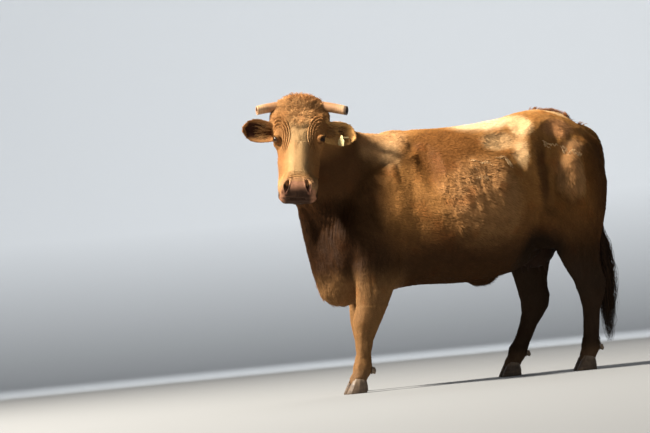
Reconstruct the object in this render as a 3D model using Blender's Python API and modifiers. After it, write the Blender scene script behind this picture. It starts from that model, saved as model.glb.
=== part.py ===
"""A life-size beef cow that stands still and looks to its left, with its horns sawn short.

The flesh is modelled whole from lofted masses and muscles, fused with a voxel remesh, and then
parted into head, neck, trunk and legs by thin cuts. Horns, eyes, ears, claws, tail, udder and ear
tag are made on their own and trimmed to fit the flesh. Metres, +Z up, the cow faces -Y and its
left side is +X. The origin is on the floor under the middle of the model's box.
"""

import math

import bmesh
import bpy
import numpy as np
from mathutils import Matrix, Vector

# ---- driving dimensions (metres, degrees) ----
GAP = 0.0004  # clearance between neighbouring solids
BODY_VOXEL = 0.012
HEAD_VOXEL = 0.0065
BODY_TRIANGLES = 3100
HEAD_TRIANGLES = 2100

HEAD_PLACE = (0.118, -0.872, 1.533)  # poll, on the plane of the forehead
HEAD_YAW = 65.5
HEAD_PITCH = 50.0
HEAD_ROLL = 8.5

EYE_PLACE = (0.1120, -0.207, -0.055)  # left eye in the head's own frame
EYE_RADIUS = 0.0215
HORN_BASE = (0.080, 0.014, -0.030)  # left horn; the right one is its mirror image
HORN_DIRECTION = (0.940, -0.255, 0.165)
HORN_LENGTH = {"left": 0.176, "right": 0.150}
HORN_RADII = (0.0290, 0.0245)
EAR_BASE = {"left": (0.105, -0.100, -0.094), "right": (-0.105, -0.112, -0.104)}
EAR_DIRECTION = {"left": (0.960, -0.190, -0.070), "right": (-0.970, 0.060, 0.110)}
EAR_FACING = {"left": (0.150, -0.600, 0.780), "right": (0.080, -0.720, 0.690)}
EAR_LENGTH = 0.195
EAR_HALF_WIDTH = 0.066
EAR_THICKNESS = 0.008
TAG_PLACE = (0.2205, -0.6955, 1.3165)
TAG_TURN = 28.0
TAG_LEAN = 16.0

CLAW_LENGTH = 0.118
CLAW_HEIGHT = 0.080
CLAW_HALF_WIDTH = 0.0275

# Trunk, from croup to chest: y, top z, bottom z, half width, z of the widest point as a share of
# the height, roundness above and below (2 is an ellipse, less is more pointed).
TRUNK = [
    (0.805, 1.250, 1.020, 0.080, 0.55, 2.0, 2.0),
    (0.740, 1.316, 0.940, 0.145, 0.58, 2.1, 2.0),
    (0.640, 1.380, 0.860, 0.200, 0.62, 2.1, 2.0),
    (0.510, 1.428, 0.740, 0.245, 0.62, 2.2, 2.0),
    (0.390, 1.424, 0.620, 0.272, 0.58, 2.4, 2.1),
    (0.260, 1.396, 0.562, 0.312, 0.46, 2.3, 2.2),
    (0.110, 1.378, 0.530, 0.352, 0.42, 2.2, 2.2),
    (-0.050, 1.368, 0.524, 0.362, 0.42, 2.1, 2.2),
    (-0.190, 1.370, 0.532, 0.338, 0.43, 1.95, 2.2),
    (-0.320, 1.364, 0.532, 0.292, 0.44, 1.8, 2.2),
    (-0.450, 1.352, 0.515, 0.250, 0.46, 1.8, 2.1),
    (-0.580, 1.300, 0.480, 0.222, 0.47, 1.9, 2.0),
    (-0.700, 1.200, 0.460, 0.178, 0.45, 2.0, 1.9),
    (-0.790, 1.060, 0.505, 0.110, 0.45, 2.0, 1.9),
    (-0.840, 0.930, 0.600, 0.050, 0.45, 2.0, 2.0),
]

# Neck, from the shoulders to the poll: centre, half width, half height.
NECK = [
    ((0.000, -0.330, 0.985), 0.235, 0.360),
    ((0.004, -0.450, 1.010), 0.215, 0.370),
    ((0.018, -0.570, 1.065), 0.180, 0.345),
    ((0.042, -0.680, 1.145), 0.148, 0.290),
    ((0.072, -0.770, 1.235), 0.126, 0.232),
    ((0.098, -0.835, 1.315), 0.112, 0.190),
    ((0.112, -0.870, 1.385), 0.098, 0.150),
]

# Dewlap, a fold hanging from throat to brisket: centre, half width, half depth.
DEWLAP = [
    ((0.092, -0.858, 1.160), 0.046, 0.085),
    ((0.076, -0.856, 1.070), 0.040, 0.085),
    ((0.052, -0.838, 0.960), 0.036, 0.085),
    ((0.030, -0.814, 0.840), 0.040, 0.086),
    ((0.012, -0.788, 0.730), 0.056, 0.088),
    ((0.004, -0.758, 0.640), 0.080, 0.098),
    ((0.000, -0.705, 0.560), 0.098, 0.108),
    ((0.000, -0.640, 0.540), 0.080, 0.080),
]

# Fore leg, shoulder to hoof: half depth (fore-aft), half width.
FORE_GIRTH = [
    (0.150, 0.085), (0.150, 0.088), (0.136, 0.082), (0.117, 0.076), (0.098, 0.070), (0.080, 0.063),
    (0.074, 0.064), (0.062, 0.055), (0.049, 0.042), (0.044, 0.037), (0.047, 0.040), (0.053, 0.048),
    (0.044, 0.046), (0.049, 0.050), (0.042, 0.044),
]
FORE_PATHS = {
    "left": [
        (0.150, -0.480, 0.960), (0.172, -0.510, 0.840), (0.182, -0.540, 0.720), (0.182, -0.562, 0.610),
        (0.180, -0.587, 0.510), (0.176, -0.616, 0.420), (0.175, -0.640, 0.368), (0.175, -0.652, 0.318),
        (0.175, -0.660, 0.270), (0.175, -0.670, 0.200), (0.175, -0.678, 0.156), (0.175, -0.686, 0.126),
        (0.175, -0.704, 0.088), (0.175, -0.718, 0.062), (0.175, -0.726, 0.034),
    ],
    "right": [
        (-0.150, -0.480, 0.960), (-0.172, -0.494, 0.840), (-0.180, -0.508, 0.720), (-0.178, -0.518, 0.610),
        (-0.172, -0.530, 0.510), (-0.166, -0.542, 0.420), (-0.164, -0.550, 0.368), (-0.163, -0.556, 0.318),
        (-0.162, -0.560, 0.270), (-0.160, -0.566, 0.200), (-0.160, -0.572, 0.156), (-0.160, -0.578, 0.126),
        (-0.160, -0.594, 0.088), (-0.160, -0.608, 0.062), (-0.160, -0.616, 0.034),
    ],
}

# Hind leg, croup to hoof: half depth, half width.
HIND_GIRTH = [
    (0.205, 0.100), (0.232, 0.112), (0.214, 0.108), (0.176, 0.094), (0.134, 0.080), (0.108, 0.068),
    (0.091, 0.057), (0.088, 0.054), (0.072, 0.051), (0.054, 0.043), (0.047, 0.038), (0.048, 0.040),
    (0.054, 0.048), (0.045, 0.046), (0.049, 0.050), (0.042, 0.044),
]
# Its centres: the right leg steps ahead, so its hock is lower.
HIND_PATHS = {
    "left": [
        (0.110, 0.560, 1.180), (0.138, 0.572, 1.040), (0.152, 0.576, 0.900), (0.160, 0.582, 0.780),
        (0.166, 0.588, 0.680), (0.168, 0.600, 0.590), (0.170, 0.622, 0.515), (0.170, 0.639, 0.448),
        (0.170, 0.637, 0.395), (0.170, 0.629, 0.330), (0.170, 0.619, 0.240), (0.170, 0.610, 0.168),
        (0.171, 0.603, 0.132), (0.172, 0.588, 0.090), (0.172, 0.574, 0.063), (0.172, 0.566, 0.034),
    ],
    "right": [
        (-0.110, 0.560, 1.180), (-0.138, 0.552, 1.040), (-0.152, 0.512, 0.895), (-0.160, 0.470, 0.765),
        (-0.164, 0.438, 0.660), (-0.164, 0.430, 0.560), (-0.163, 0.435, 0.475), (-0.162, 0.440, 0.405),
        (-0.162, 0.424, 0.350), (-0.162, 0.398, 0.295), (-0.162, 0.364, 0.225), (-0.162, 0.332, 0.165),
        (-0.162, 0.312, 0.132), (-0.163, 0.290, 0.090), (-0.163, 0.273, 0.063), (-0.163, 0.264, 0.034),
    ],
}

# Tail: centre and radius, from the dock down to where the switch starts.
TAIL = [
    ((0.000, 0.690, 1.312), 0.036),
    ((0.000, 0.752, 1.296), 0.036),
    ((0.000, 0.808, 1.256), 0.033),
    ((0.000, 0.838, 1.180), 0.028),
    ((0.002, 0.838, 1.070), 0.024),
    ((0.008, 0.824, 0.950), 0.020),
    ((0.016, 0.804, 0.840), 0.018),
    ((0.021, 0.792, 0.760), 0.018),
]
SWITCH = [
    ((0.022, 0.791, 0.752), 0.020),
    ((0.028, 0.790, 0.680), 0.032),
    ((0.034, 0.792, 0.560), 0.042),
    ((0.036, 0.788, 0.440), 0.040),
    ((0.036, 0.783, 0.320), 0.032),
    ((0.036, 0.779, 0.220), 0.022),
    ((0.036, 0.777, 0.140), 0.008),
]

# Raised and sunken places on both sides of the body (left given): place, reach, push.
RELIEF = [
    ((0.170, -0.350, 1.250), (0.20, 0.120, 0.170), (0.022, 0.0, 0.004)),  # top of shoulder blade
    ((0.230, -0.430, 1.060), (0.20, 0.100, 0.240), (0.020, 0.0, 0.0)),  # its ridge
    ((0.210, -0.680, 0.840), (0.20, 0.130, 0.160), (0.026, -0.012, 0.0)),  # point of shoulder
    ((0.250, -0.470, 0.840), (0.20, 0.160, 0.190), (0.022, 0.0, 0.0)),  # triceps
    ((0.290, -0.240, 1.160), (0.16, 0.080, 0.200), (-0.028, 0.0, 0.0)),  # behind the shoulder
    ((0.210, -0.600, 1.060), (0.16, 0.090, 0.190), (-0.018, 0.0, 0.0)),  # before the shoulder
    ((0.280, -0.350, 0.640), (0.16, 0.090, 0.110), (-0.018, 0.0, 0.0)),  # behind the elbow
    ((0.260, 0.365, 1.330), (0.12, 0.090, 0.085), (0.040, 0.0, 0.012)),  # hook
    ((0.300, 0.312, 1.190), (0.14, 0.070, 0.170), (0.022, 0.0, 0.0)),  # ridge down from the hook
    ((0.260, 0.180, 1.345), (0.12, 0.200, 0.060), (0.012, 0.0, 0.0)),  # edge of the loin
    ((0.300, 0.180, 1.260), (0.14, 0.130, 0.085), (-0.034, 0.0, -0.004)),  # flank hollow
    ((0.270, 0.440, 1.130), (0.14, 0.075, 0.240), (-0.036, 0.0, 0.0)),  # valley before the thigh
    ((0.220, 0.480, 1.290), (0.14, 0.080, 0.085), (-0.026, 0.0, 0.0)),  # behind the hook
    ((0.240, 0.580, 1.140), (0.15, 0.100, 0.110), (0.014, 0.0, 0.0)),  # thurl
    ((0.270, 0.565, 1.020), (0.15, 0.110, 0.200), (0.028, 0.0, 0.0)),  # bulge of the thigh
    ((0.095, 0.780, 1.205), (0.10, 0.100, 0.100), (0.010, 0.022, 0.002)),  # pin
    ((0.260, 0.450, 0.810), (0.16, 0.130, 0.160), (0.024, -0.008, 0.0)),  # stifle
]

# Outlines, fore-aft and up, of the blocks that part the flesh. The head's is measured from the
# poll and turned with the face.
HEAD_CUT = [(0.010, 0.140), (0.066, 0.000), (0.205, -0.250), (0.165, -0.295), (-0.130, -0.565),
            (-0.550, -0.800), (-0.750, -0.200), (-0.300, 0.300)]
NECK_CUT = [(-0.420, 1.560), (-0.500, 1.180), (-0.640, 0.900), (-0.740, 0.700), (-1.200, 0.700),
            (-1.200, 1.700), (-0.420, 1.700)]
THIGH_CUTS = {
    "left": [(0.300, -0.05), (0.330, 0.600), (0.420, 0.820), (0.500, 1.000), (1.000, 1.060),
             (1.000, -0.05)],
    "right": [(0.150, -0.05), (0.200, 0.600), (0.330, 0.820), (0.470, 1.000), (1.000, 1.060),
              (1.000, -0.05)],
}
# Outline, sideways and up, of the block that parts a fore leg.
FORE_CUT = [(0.050, -0.05), (0.050, 0.455), (0.140, 0.570), (0.300, 0.700), (0.500, 0.700), (0.500, -0.05)]

# Head, from behind the poll to the lips, in the head's own frame (it faces -Y, forehead on z = 0):
# distance along the face, top z, bottom z, half width of the top, widest half width, its z,
# half width of the jaw.
SKULL = [
    (-0.050, -0.070, -0.190, 0.060, 0.095, -0.125, 0.050),
    (-0.020, -0.018, -0.225, 0.090, 0.124, -0.105, 0.062),
    (0.030, 0.000, -0.258, 0.112, 0.140, -0.090, 0.072),
    (0.090, 0.004, -0.282, 0.114, 0.142, -0.085, 0.080),
    (0.150, 0.002, -0.286, 0.108, 0.133, -0.076, 0.084),
    (0.200, -0.006, -0.276, 0.096, 0.127, -0.078, 0.084),
    (0.255, -0.016, -0.256, 0.074, 0.116, -0.090, 0.078),
    (0.315, -0.024, -0.228, 0.058, 0.113, -0.104, 0.074),
    (0.380, -0.030, -0.202, 0.051, 0.108, -0.110, 0.066),
    (0.440, -0.034, -0.188, 0.052, 0.105, -0.110, 0.062),
    (0.490, -0.036, -0.186, 0.058, 0.106, -0.106, 0.066),
    (0.530, -0.044, -0.182, 0.060, 0.102, -0.106, 0.062),
    (0.562, -0.060, -0.166, 0.050, 0.088, -0.110, 0.050),
    (0.582, -0.088, -0.140, 0.028, 0.054, -0.114, 0.028),
]


# ---- general helpers ----
def clear_scene():
    for obj in list(bpy.data.objects):
        bpy.data.objects.remove(obj)


def collection(name, hidden=False):
    made = bpy.data.collections.new(name)
    bpy.context.scene.collection.children.link(made)
    made.hide_render = hidden
    return made


def through(rows, steps):
    """The rows with Catmull-Rom values between them, steps to each interval."""
    rows = np.array(rows, float)
    padded = np.vstack([2 * rows[0] - rows[1], rows, 2 * rows[-1] - rows[-2]])
    found = []
    for i in range(1, len(padded) - 2):
        a, b, c, d = padded[i - 1 : i + 3]
        for t in np.arange(steps) / steps:
            found.append(
                0.5
                * (2 * b + (c - a) * t + (2 * a - 5 * b + 4 * c - d) * t**2 + (3 * b - a - 3 * c + d) * t**3)
            )
    found.append(rows[-1])
    return np.array(found)


def mesh_object(name, mesh):
    obj = bpy.data.objects.new(name, mesh)
    bpy.context.scene.collection.objects.link(obj)
    return obj


def skin_rings(name, rings):
    """A closed loft through rings that all have the same number of points."""
    shape = bmesh.new()
    loops = [[shape.verts.new(p) for p in ring] for ring in rings]
    count = len(rings[0])
    for low, high in zip(loops, loops[1:]):
        for i in range(count):
            j = (i + 1) % count
            shape.faces.new((low[i], low[j], high[j], high[i]))
    shape.faces.new(loops[0])
    shape.faces.new(loops[-1])
    bmesh.ops.recalc_face_normals(shape, faces=shape.faces)
    mesh = bpy.data.meshes.new(name)
    shape.to_mesh(mesh)
    shape.free()
    return mesh_object(name, mesh)


def superellipse(count, power_top, power_bottom):
    """Unit outline points; the power above the middle differs from the one below."""
    angles = np.arange(count) * 2 * math.pi / count
    c, s = np.cos(angles), np.sin(angles)
    power = np.where(s >= 0, power_top, power_bottom)
    return np.sign(c) * np.abs(c) ** (2 / power), np.sign(s) * np.abs(s) ** (2 / power)


def tube(name, centres, half_widths, half_depths, side=(1, 0, 0), count=20, steps=4, power=2.0):
    """A loft along a path. Half widths lie along side, half depths across it and the path."""
    rows = through(np.column_stack([centres, half_widths, half_depths]), steps)
    middles, widths, depths = rows[:, :3], rows[:, 3], rows[:, 4]
    along = np.gradient(middles, axis=0)
    along /= np.linalg.norm(along, axis=1)[:, None]
    across = np.array(side, float) - along * (along @ np.array(side, float))[:, None]
    across /= np.linalg.norm(across, axis=1)[:, None]
    deep = np.cross(along, across)
    c, s = superellipse(count, power, power)
    rings = [
        m + np.outer(c * w, a) + np.outer(s * d, n)
        for m, w, d, a, n in zip(middles, widths, depths, across, deep)
    ]
    return skin_rings(name, rings)


def ball(name, place, radii, turn=(0, 0, 0), detail=3):
    """An ellipsoid: place and radii in metres, turn in degrees about X, Y and Z."""
    shape = bmesh.new()
    bmesh.ops.create_icosphere(shape, subdivisions=detail, radius=1.0)
    angles = [math.radians(t) for t in turn]
    rotation = Matrix.Rotation(angles[2], 4, "Z") @ Matrix.Rotation(angles[1], 4, "Y")
    rotation = rotation @ Matrix.Rotation(angles[0], 4, "X")
    bmesh.ops.transform(
        shape,
        matrix=Matrix.Translation(place) @ rotation @ Matrix.Diagonal((*radii, 1.0)),
        verts=shape.verts,
    )
    mesh = bpy.data.meshes.new(name)
    shape.to_mesh(mesh)
    shape.free()
    return mesh_object(name, mesh)


def both_sides(name, place, radii, turn=(0, 0, 0)):
    """The same ellipsoid on the left and, mirrored, on the right."""
    x, y, z = place
    left = ball(name + "_left", (x, y, z), radii, turn)
    right = ball(name + "_right", (-x, y, z), radii, (turn[0], -turn[1], -turn[2]))
    return [left, right]


def block(name, outline, low, high, matrix=None):
    """A prism for cutting: the outline lies in Y and Z and runs from low to high along X."""
    rings = [[(x, y, z) for y, z in outline] for x in (low, high)]
    made = skin_rings(name, rings)
    made.data.transform(matrix or Matrix.Identity(4))
    return made


def joined(name, objects):
    """One object that holds the meshes of all these, in world space."""
    shape = bmesh.new()
    for obj in objects:
        start = len(shape.verts)
        shape.from_mesh(obj.data)
        shape.verts.ensure_lookup_table()
        bmesh.ops.transform(shape, matrix=obj.matrix_basis, verts=shape.verts[start:])
    mesh = bpy.data.meshes.new(name)
    shape.to_mesh(mesh)
    shape.free()
    for obj in objects:
        bpy.data.objects.remove(obj)
    return mesh_object(name, mesh)


def copied(obj, name):
    made = obj.copy()
    made.data = obj.data.copy()
    made.name = name
    bpy.context.scene.collection.objects.link(made)
    return made


def apply_modifiers(obj):
    graph = bpy.context.evaluated_depsgraph_get()
    mesh = bpy.data.meshes.new_from_object(obj.evaluated_get(graph))
    obj.modifiers.clear()
    obj.data = mesh


def fused(obj, voxel, smoothing):
    """Fuses overlapping masses into one smooth surface."""
    remesh = obj.modifiers.new("fuse", "REMESH")
    remesh.mode = "VOXEL"
    remesh.voxel_size = voxel
    smooth = obj.modifiers.new("soften", "SMOOTH")
    smooth.factor = 0.5
    smooth.iterations = smoothing
    apply_modifiers(obj)
    keep_largest(obj)
    return obj


def keep_largest(obj):
    """Drops every loose piece but the one with most points."""
    shape = bmesh.new()
    shape.from_mesh(obj.data)
    left = set(shape.verts)
    pieces = []
    while left:
        todo = [left.pop()]
        piece = set(todo)
        while todo:
            for edge in todo.pop().link_edges:
                for vert in edge.verts:
                    if vert in left:
                        left.discard(vert)
                        piece.add(vert)
                        todo.append(vert)
        pieces.append(piece)
    pieces.sort(key=len, reverse=True)
    spare = [v for piece in pieces[1:] for v in piece]
    bmesh.ops.delete(shape, geom=spare, context="VERTS")
    shape.to_mesh(obj.data)
    shape.free()


def press(obj, place, radii, push):
    """Moves the surface near place by push, fading out over an ellipsoid of these radii."""
    points = np.empty(len(obj.data.vertices) * 3)
    obj.data.vertices.foreach_get("co", points)
    points = points.reshape(-1, 3)
    far = np.linalg.norm((points - np.array(place)) / np.array(radii), axis=1)
    share = np.clip(1 - far**2, 0, 1) ** 2
    points += share[:, None] * np.array(push)
    obj.data.vertices.foreach_set("co", points.ravel())
    obj.data.update()


def boolean(obj, cutter, operation="DIFFERENCE"):
    """Applies one Boolean; the cutter stays."""
    step = obj.modifiers.new("cut", "BOOLEAN")
    step.operation = operation
    step.object = cutter
    apply_modifiers(obj)


def swollen(obj, by):
    """A copy whose surface stands out by that much, for trimming neighbours with a gap."""
    made = copied(obj, obj.name + "_cutter")
    grow = made.modifiers.new("grow", "DISPLACE")
    grow.strength = by
    grow.mid_level = 0.0
    apply_modifiers(made)
    return made


def shade(obj, angle=40.0):
    obj.data.shade_smooth()
    obj.data.set_sharp_from_angle(angle=math.radians(angle))


def material(name, colour, roughness, metallic=0.0):
    made = bpy.data.materials.new(name)
    made.use_nodes = True
    shader = made.node_tree.nodes["Principled BSDF"]
    shader.inputs["Base Color"].default_value = (*colour, 1.0)
    shader.inputs["Roughness"].default_value = roughness
    shader.inputs["Metallic"].default_value = metallic
    return made


# ---- the flesh ----
def head_matrix():
    """From the head's own frame to the cow's: looking left, nose down, tilted a little."""
    turn = Matrix.Rotation(math.radians(HEAD_YAW), 4, "Z")
    nod = Matrix.Rotation(math.radians(HEAD_PITCH), 4, "X")
    tilt = Matrix.Rotation(math.radians(HEAD_ROLL), 4, "Y")
    return Matrix.Translation(HEAD_PLACE) @ turn @ nod @ tilt


def trunk_mass():
    """The barrel and croup, as upright sections from tail to chest."""
    rings = []
    for y, top, bottom, half, wide, power_top, power_bottom in through(TRUNK, 3):
        c, s = superellipse(32, power_top, power_bottom)
        middle = bottom + (top - bottom) * wide
        z = np.where(s >= 0, middle + s * (top - middle), middle + s * (middle - bottom))
        rings.append(np.column_stack([c * half, np.full(len(c), y), z]))
    return skin_rings("trunk_mass", rings)


def neck_masses():
    centres = [row[0] for row in NECK]
    neck = tube("neck_mass", centres, [r[1] for r in NECK], [r[2] for r in NECK], power=2.1)
    centres = [row[0] for row in DEWLAP]
    fold = tube("dewlap_mass", centres, [r[1] for r in DEWLAP], [r[2] for r in DEWLAP])
    return [neck, fold]


def leg_mass(name, girth, path):
    return tube(name, path, [r[1] for r in girth], [r[0] for r in girth], power=2.15)


def muscles():
    """Masses that carry the legs into the trunk, and the brisket, withers, croup and navel."""
    made = []
    made += both_sides("shoulder", (0.150, -0.520, 0.900), (0.088, 0.200, 0.330), (-28, 4, 0))
    made += both_sides("breast", (0.090, -0.700, 0.700), (0.088, 0.095, 0.160))
    made += both_sides("thurl", (0.160, 0.580, 1.090), (0.090, 0.180, 0.200), (12, 0, 0))
    made += both_sides("rear_thigh", (0.115, 0.665, 0.990), (0.085, 0.135, 0.210))
    made.append(ball("brisket", (0.000, -0.715, 0.575), (0.105, 0.120, 0.120)))
    made.append(ball("withers", (0.000, -0.330, 1.300), (0.060, 0.160, 0.075)))
    made.append(ball("croup", (0.000, 0.520, 1.356), (0.080, 0.160, 0.066)))
    made.append(ball("navel_fold", (0.000, 0.090, 0.540), (0.032, 0.085, 0.045), (10, 0, 0)))
    return made


def flank_folds():
    """The web of skin between belly and thigh, further forward on the leg that steps ahead."""
    left = ball("flank_left", (0.185, 0.370, 0.800), (0.085, 0.170, 0.130), (-34, 0, 0))
    right = ball("flank_right", (-0.175, 0.300, 0.760), (0.085, 0.150, 0.170), (-20, 0, 0))
    return [left, right]


def skull_mass():
    """The head as sections across the face, each a smooth ring through its own landmarks."""
    rings = []
    for along, top, bottom, brow, wide, wide_z, jaw in through(SKULL, 3):
        lower = bottom + 0.16 * (wide_z - bottom)
        half = [
            (0.0, top),
            (0.62 * brow, top - 0.002),
            (brow, top - 0.10 * (top - wide_z)),
            (0.5 * (brow + wide) + 0.004, top - 0.45 * (top - wide_z)),
            (wide, wide_z),
            (0.45 * wide + 0.55 * jaw, 0.5 * (wide_z + lower)),
            (jaw, lower),
            (0.55 * jaw, bottom + 0.03 * (wide_z - bottom)),
            (0.0, bottom),
        ]
        outline = half + [(-x, z) for x, z in reversed(half[1:-1])]
        closed = outline[-1:] + outline + outline[:2]
        smooth = through(closed, 2)[2:-4]
        rings.append([(x, -along, z) for x, z in smooth])
    return skin_rings("skull_mass", rings)


def head_masses():
    """Skull, cheeks, brows, muzzle and the crown of hair, in the head's own frame."""
    made = [skull_mass()]
    made += both_sides("cheek", (0.076, -0.140, -0.190), (0.046, 0.100, 0.085), (-25, 0, 0))
    made += both_sides("brow", (0.096, -0.180, -0.038), (0.038, 0.050, 0.030), (0, 18, 0))
    made += both_sides("orbit", (0.104, -0.205, -0.062), (0.029, 0.038, 0.034))
    made += both_sides("face_ridge", (0.086, -0.290, -0.110), (0.026, 0.060, 0.024), (-10, 0, 0))
    made += both_sides("nostril_wing", (0.060, -0.520, -0.080), (0.038, 0.046, 0.038), (0, 0, 16))
    made += both_sides("upper_lip", (0.058, -0.530, -0.138), (0.044, 0.050, 0.030))
    made += both_sides("temple", (0.112, -0.050, -0.060), (0.048, 0.070, 0.050))
    made.append(ball("crown_hair", (0.0, -0.004, -0.012), (0.138, 0.074, 0.046)))
    made.append(ball("forehead_curls", (0.0, -0.085, 0.002), (0.090, 0.090, 0.018)))
    made.append(ball("chin", (0.0, -0.505, -0.178), (0.056, 0.050, 0.022)))
    turn = head_matrix()
    for obj in made:
        obj.data.transform(turn)
    return made


def body_masses():
    made = [trunk_mass()] + neck_masses() + muscles() + flank_folds()
    for side in ("left", "right"):
        made.append(leg_mass("fore_" + side, FORE_GIRTH, FORE_PATHS[side]))
        made.append(leg_mass("hind_" + side, HIND_GIRTH, HIND_PATHS[side]))
        made += leg_knobs(side)
    return made


def leg_knobs(side):
    """Elbow, knee, stifle and point of hock, which break the leg's outline."""
    sign = 1 if side == "left" else -1
    elbow = Vector(FORE_PATHS[side][3]) + Vector((0.008 * sign, 0.088, 0.0))
    knee = Vector(FORE_PATHS[side][6])
    hock = Vector(HIND_PATHS[side][7])
    stifle = Vector(HIND_PATHS[side][3]) + Vector((0.014 * sign, -0.120, 0.010))
    return [
        ball("elbow", elbow, (0.042, 0.042, 0.060)),
        ball("knee", knee + Vector((0, -0.014, -0.002)), (0.055, 0.052, 0.052)),
        ball("pisiform", knee + Vector((0, 0.050, 0.017)), (0.026, 0.022, 0.036)),
        ball("hock_point", hock + Vector((0, 0.066, 0.030)), (0.024, 0.028, 0.045), (12, 0, 0)),
        ball("hock_front", hock + Vector((0, -0.030, -0.028)), (0.046, 0.044, 0.060)),
        ball("stifle", stifle, (0.064, 0.066, 0.095)),
    ]


def shape_flesh(obj):
    """Raises the bones and muscles that show and sinks the hollows between them."""
    for place, radii, push in RELIEF:
        for sign in (1, -1):
            press(obj, (place[0] * sign, *place[1:]), radii, (push[0] * sign, *push[1:]))


def eye_sockets(head, turn):
    """Cuts room for each eye and the almond gap between its lids."""
    for sign in (1, -1):
        x, y, z = EYE_PLACE
        place = (x * sign, y, z)
        cutters = [ball("socket", place, (EYE_RADIUS + GAP,) * 3, detail=2)]
        slot = (place[0] + 0.022 * sign, y, z + 0.004)
        cutters.append(ball("lid_gap", slot, (0.022, 0.0180, 0.0125), (0, 0, 0), detail=2))
        for cutter in cutters:
            cutter.data.transform(turn)
            boolean(head, cutter)
            bpy.data.objects.remove(cutter)


# ---- parts that are trimmed to the flesh ----
def eye(side, turn):
    sign = 1 if side == "left" else -1
    x, y, z = EYE_PLACE
    made = ball("eye_" + side, (x * sign, y, z), (EYE_RADIUS,) * 3, detail=2)
    made.data.transform(turn)
    return made


def horn(side, turn):
    """A sawn-off horn: a slightly tapered, slightly curved tube with a shallow hollow in its end."""
    sign = 1 if side == "left" else -1
    mirror = Vector((sign, 1, 1))
    out = (Vector(HORN_DIRECTION) * mirror).normalized()
    centres = []
    radii = []
    for share in np.linspace(0, 1, 6):
        sag = Vector((0, -0.010, -0.008)) * share**2
        centres.append(Vector(HORN_BASE) * mirror + out * HORN_LENGTH[side] * share + sag)
        radius = HORN_RADII[0] + (HORN_RADII[1] - HORN_RADII[0]) * share
        radii.append(radius * (1 + 0.012 * math.sin(9 * share)))
    made = tube("horn_" + side, centres, radii, radii, side=(0, 1, 0), count=12, steps=1)
    hollow = ball("hollow", centres[-1] + out * 0.004, (0.016, 0.015, 0.015), detail=2)
    boolean(made, hollow)
    bpy.data.objects.remove(hollow)
    made.data.transform(turn)
    return made


def ear(side, turn):
    """A cupped leaf: a grid bent into a trough that opens towards the tip."""
    lengthwise, crosswise = 7, 6
    shape = bmesh.new()
    grid = []
    for i in range(lengthwise + 1):
        s = i / lengthwise
        half = EAR_HALF_WIDTH * (0.36 + 0.64 * math.sin(math.pi * min(1.0, 0.08 + 0.62 * s) ** 0.9))
        half *= math.sqrt(max(0.03, 1 - max(0.0, (s - 0.55) / 0.45) ** 2.4))
        cup = 0.052 * (1 - 0.55 * s)
        row = []
        for j in range(crosswise + 1):
            t = 2 * j / crosswise - 1
            across = half * t * (1 - 0.12 * t * t * (1 - s))
            row.append(shape.verts.new((EAR_LENGTH * s, across, cup * (t * t - 0.35))))
        grid.append(row)
    for low, high in zip(grid, grid[1:]):
        for j in range(crosswise):
            shape.faces.new((low[j], low[j + 1], high[j + 1], high[j]))
    mesh = bpy.data.meshes.new("ear_" + side)
    shape.to_mesh(mesh)
    shape.free()
    made = mesh_object("ear_" + side, mesh)
    # The leaf runs out along X and opens towards +Z until it is turned into place.
    out = Vector(EAR_DIRECTION[side]).normalized()
    up = Vector(EAR_FACING[side])
    across = up.cross(out).normalized()
    facing = out.cross(across)
    place = Matrix((out, across, facing)).transposed().to_4x4()
    place.translation = Vector(EAR_BASE[side])
    thick = made.modifiers.new("thick", "SOLIDIFY")
    thick.thickness = EAR_THICKNESS
    thick.offset = 0.0
    apply_modifiers(made)
    made.data.transform(turn @ place)
    bmesh_normals(made)
    return made


def bmesh_normals(obj):
    shape = bmesh.new()
    shape.from_mesh(obj.data)
    bmesh.ops.recalc_face_normals(shape, faces=shape.faces)
    shape.to_mesh(obj.data)
    shape.free()


def ear_tag():
    """A blank plastic tag in front of the left ear, on a short stem that is set in the ear."""
    outline = [(-0.007, 0.027), (0.007, 0.027), (0.011, 0.012), (0.022, 0.002), (0.022, -0.027),
               (-0.022, -0.027), (-0.022, 0.002), (-0.011, 0.012)]
    made = skin_rings("ear_tag", [[(x, y, z) for x, z in outline] for y in (-0.0012, 0.0012)])
    stem = tube("stem", [(0, y, 0.016) for y in (-0.003, 0.022, 0.050)], [0.004] * 3, [0.004] * 3,
                count=8, steps=1)
    boolean(made, stem, "UNION")
    bpy.data.objects.remove(stem)
    turn = Matrix.Rotation(math.radians(TAG_TURN), 4, "Z") @ Matrix.Rotation(math.radians(TAG_LEAN), 4, "Y")
    made.data.transform(Matrix.Translation(TAG_PLACE) @ turn)
    return made


def claw(name, centre, toe, inner):
    """One claw of a cloven hoof: sections from the flat sole up to the coronet."""
    rows = [
        # share of the height, front, back, half width
        (0.00, -0.062, 0.046, 1.00),
        (0.06, -0.063, 0.048, 1.02),
        (0.40, -0.047, 0.049, 1.02),
        (0.80, -0.028, 0.046, 0.94),
        (1.00, -0.018, 0.040, 0.80),
    ]
    rings = []
    count = 10
    for share, front, back, wide in rows:
        half = CLAW_HALF_WIDTH * wide
        middle, reach = (front + back) / 2, (back - front) / 2
        ring = []
        for i in range(count):
            angle = 2 * math.pi * i / count
            c, s = math.cos(angle), math.sin(angle)
            x = half * math.copysign(abs(c) ** 0.8, c)
            if x * inner > 0:
                x *= 0.86
            # The toe closes in towards the claw's inner edge.
            y = middle + reach * math.copysign(abs(s) ** 0.85, s)
            x += 0.006 * inner * max(0.0, -s) ** 2
            ring.append((x, y, CLAW_HEIGHT * share * (1 - 0.16 * (s + 1) / 2)))
        rings.append(ring)
    made = skin_rings(name, rings)
    turn = Matrix.Rotation(math.radians(toe), 4, "Z")
    made.data.transform(Matrix.Translation(centre) @ turn)
    return made


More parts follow.
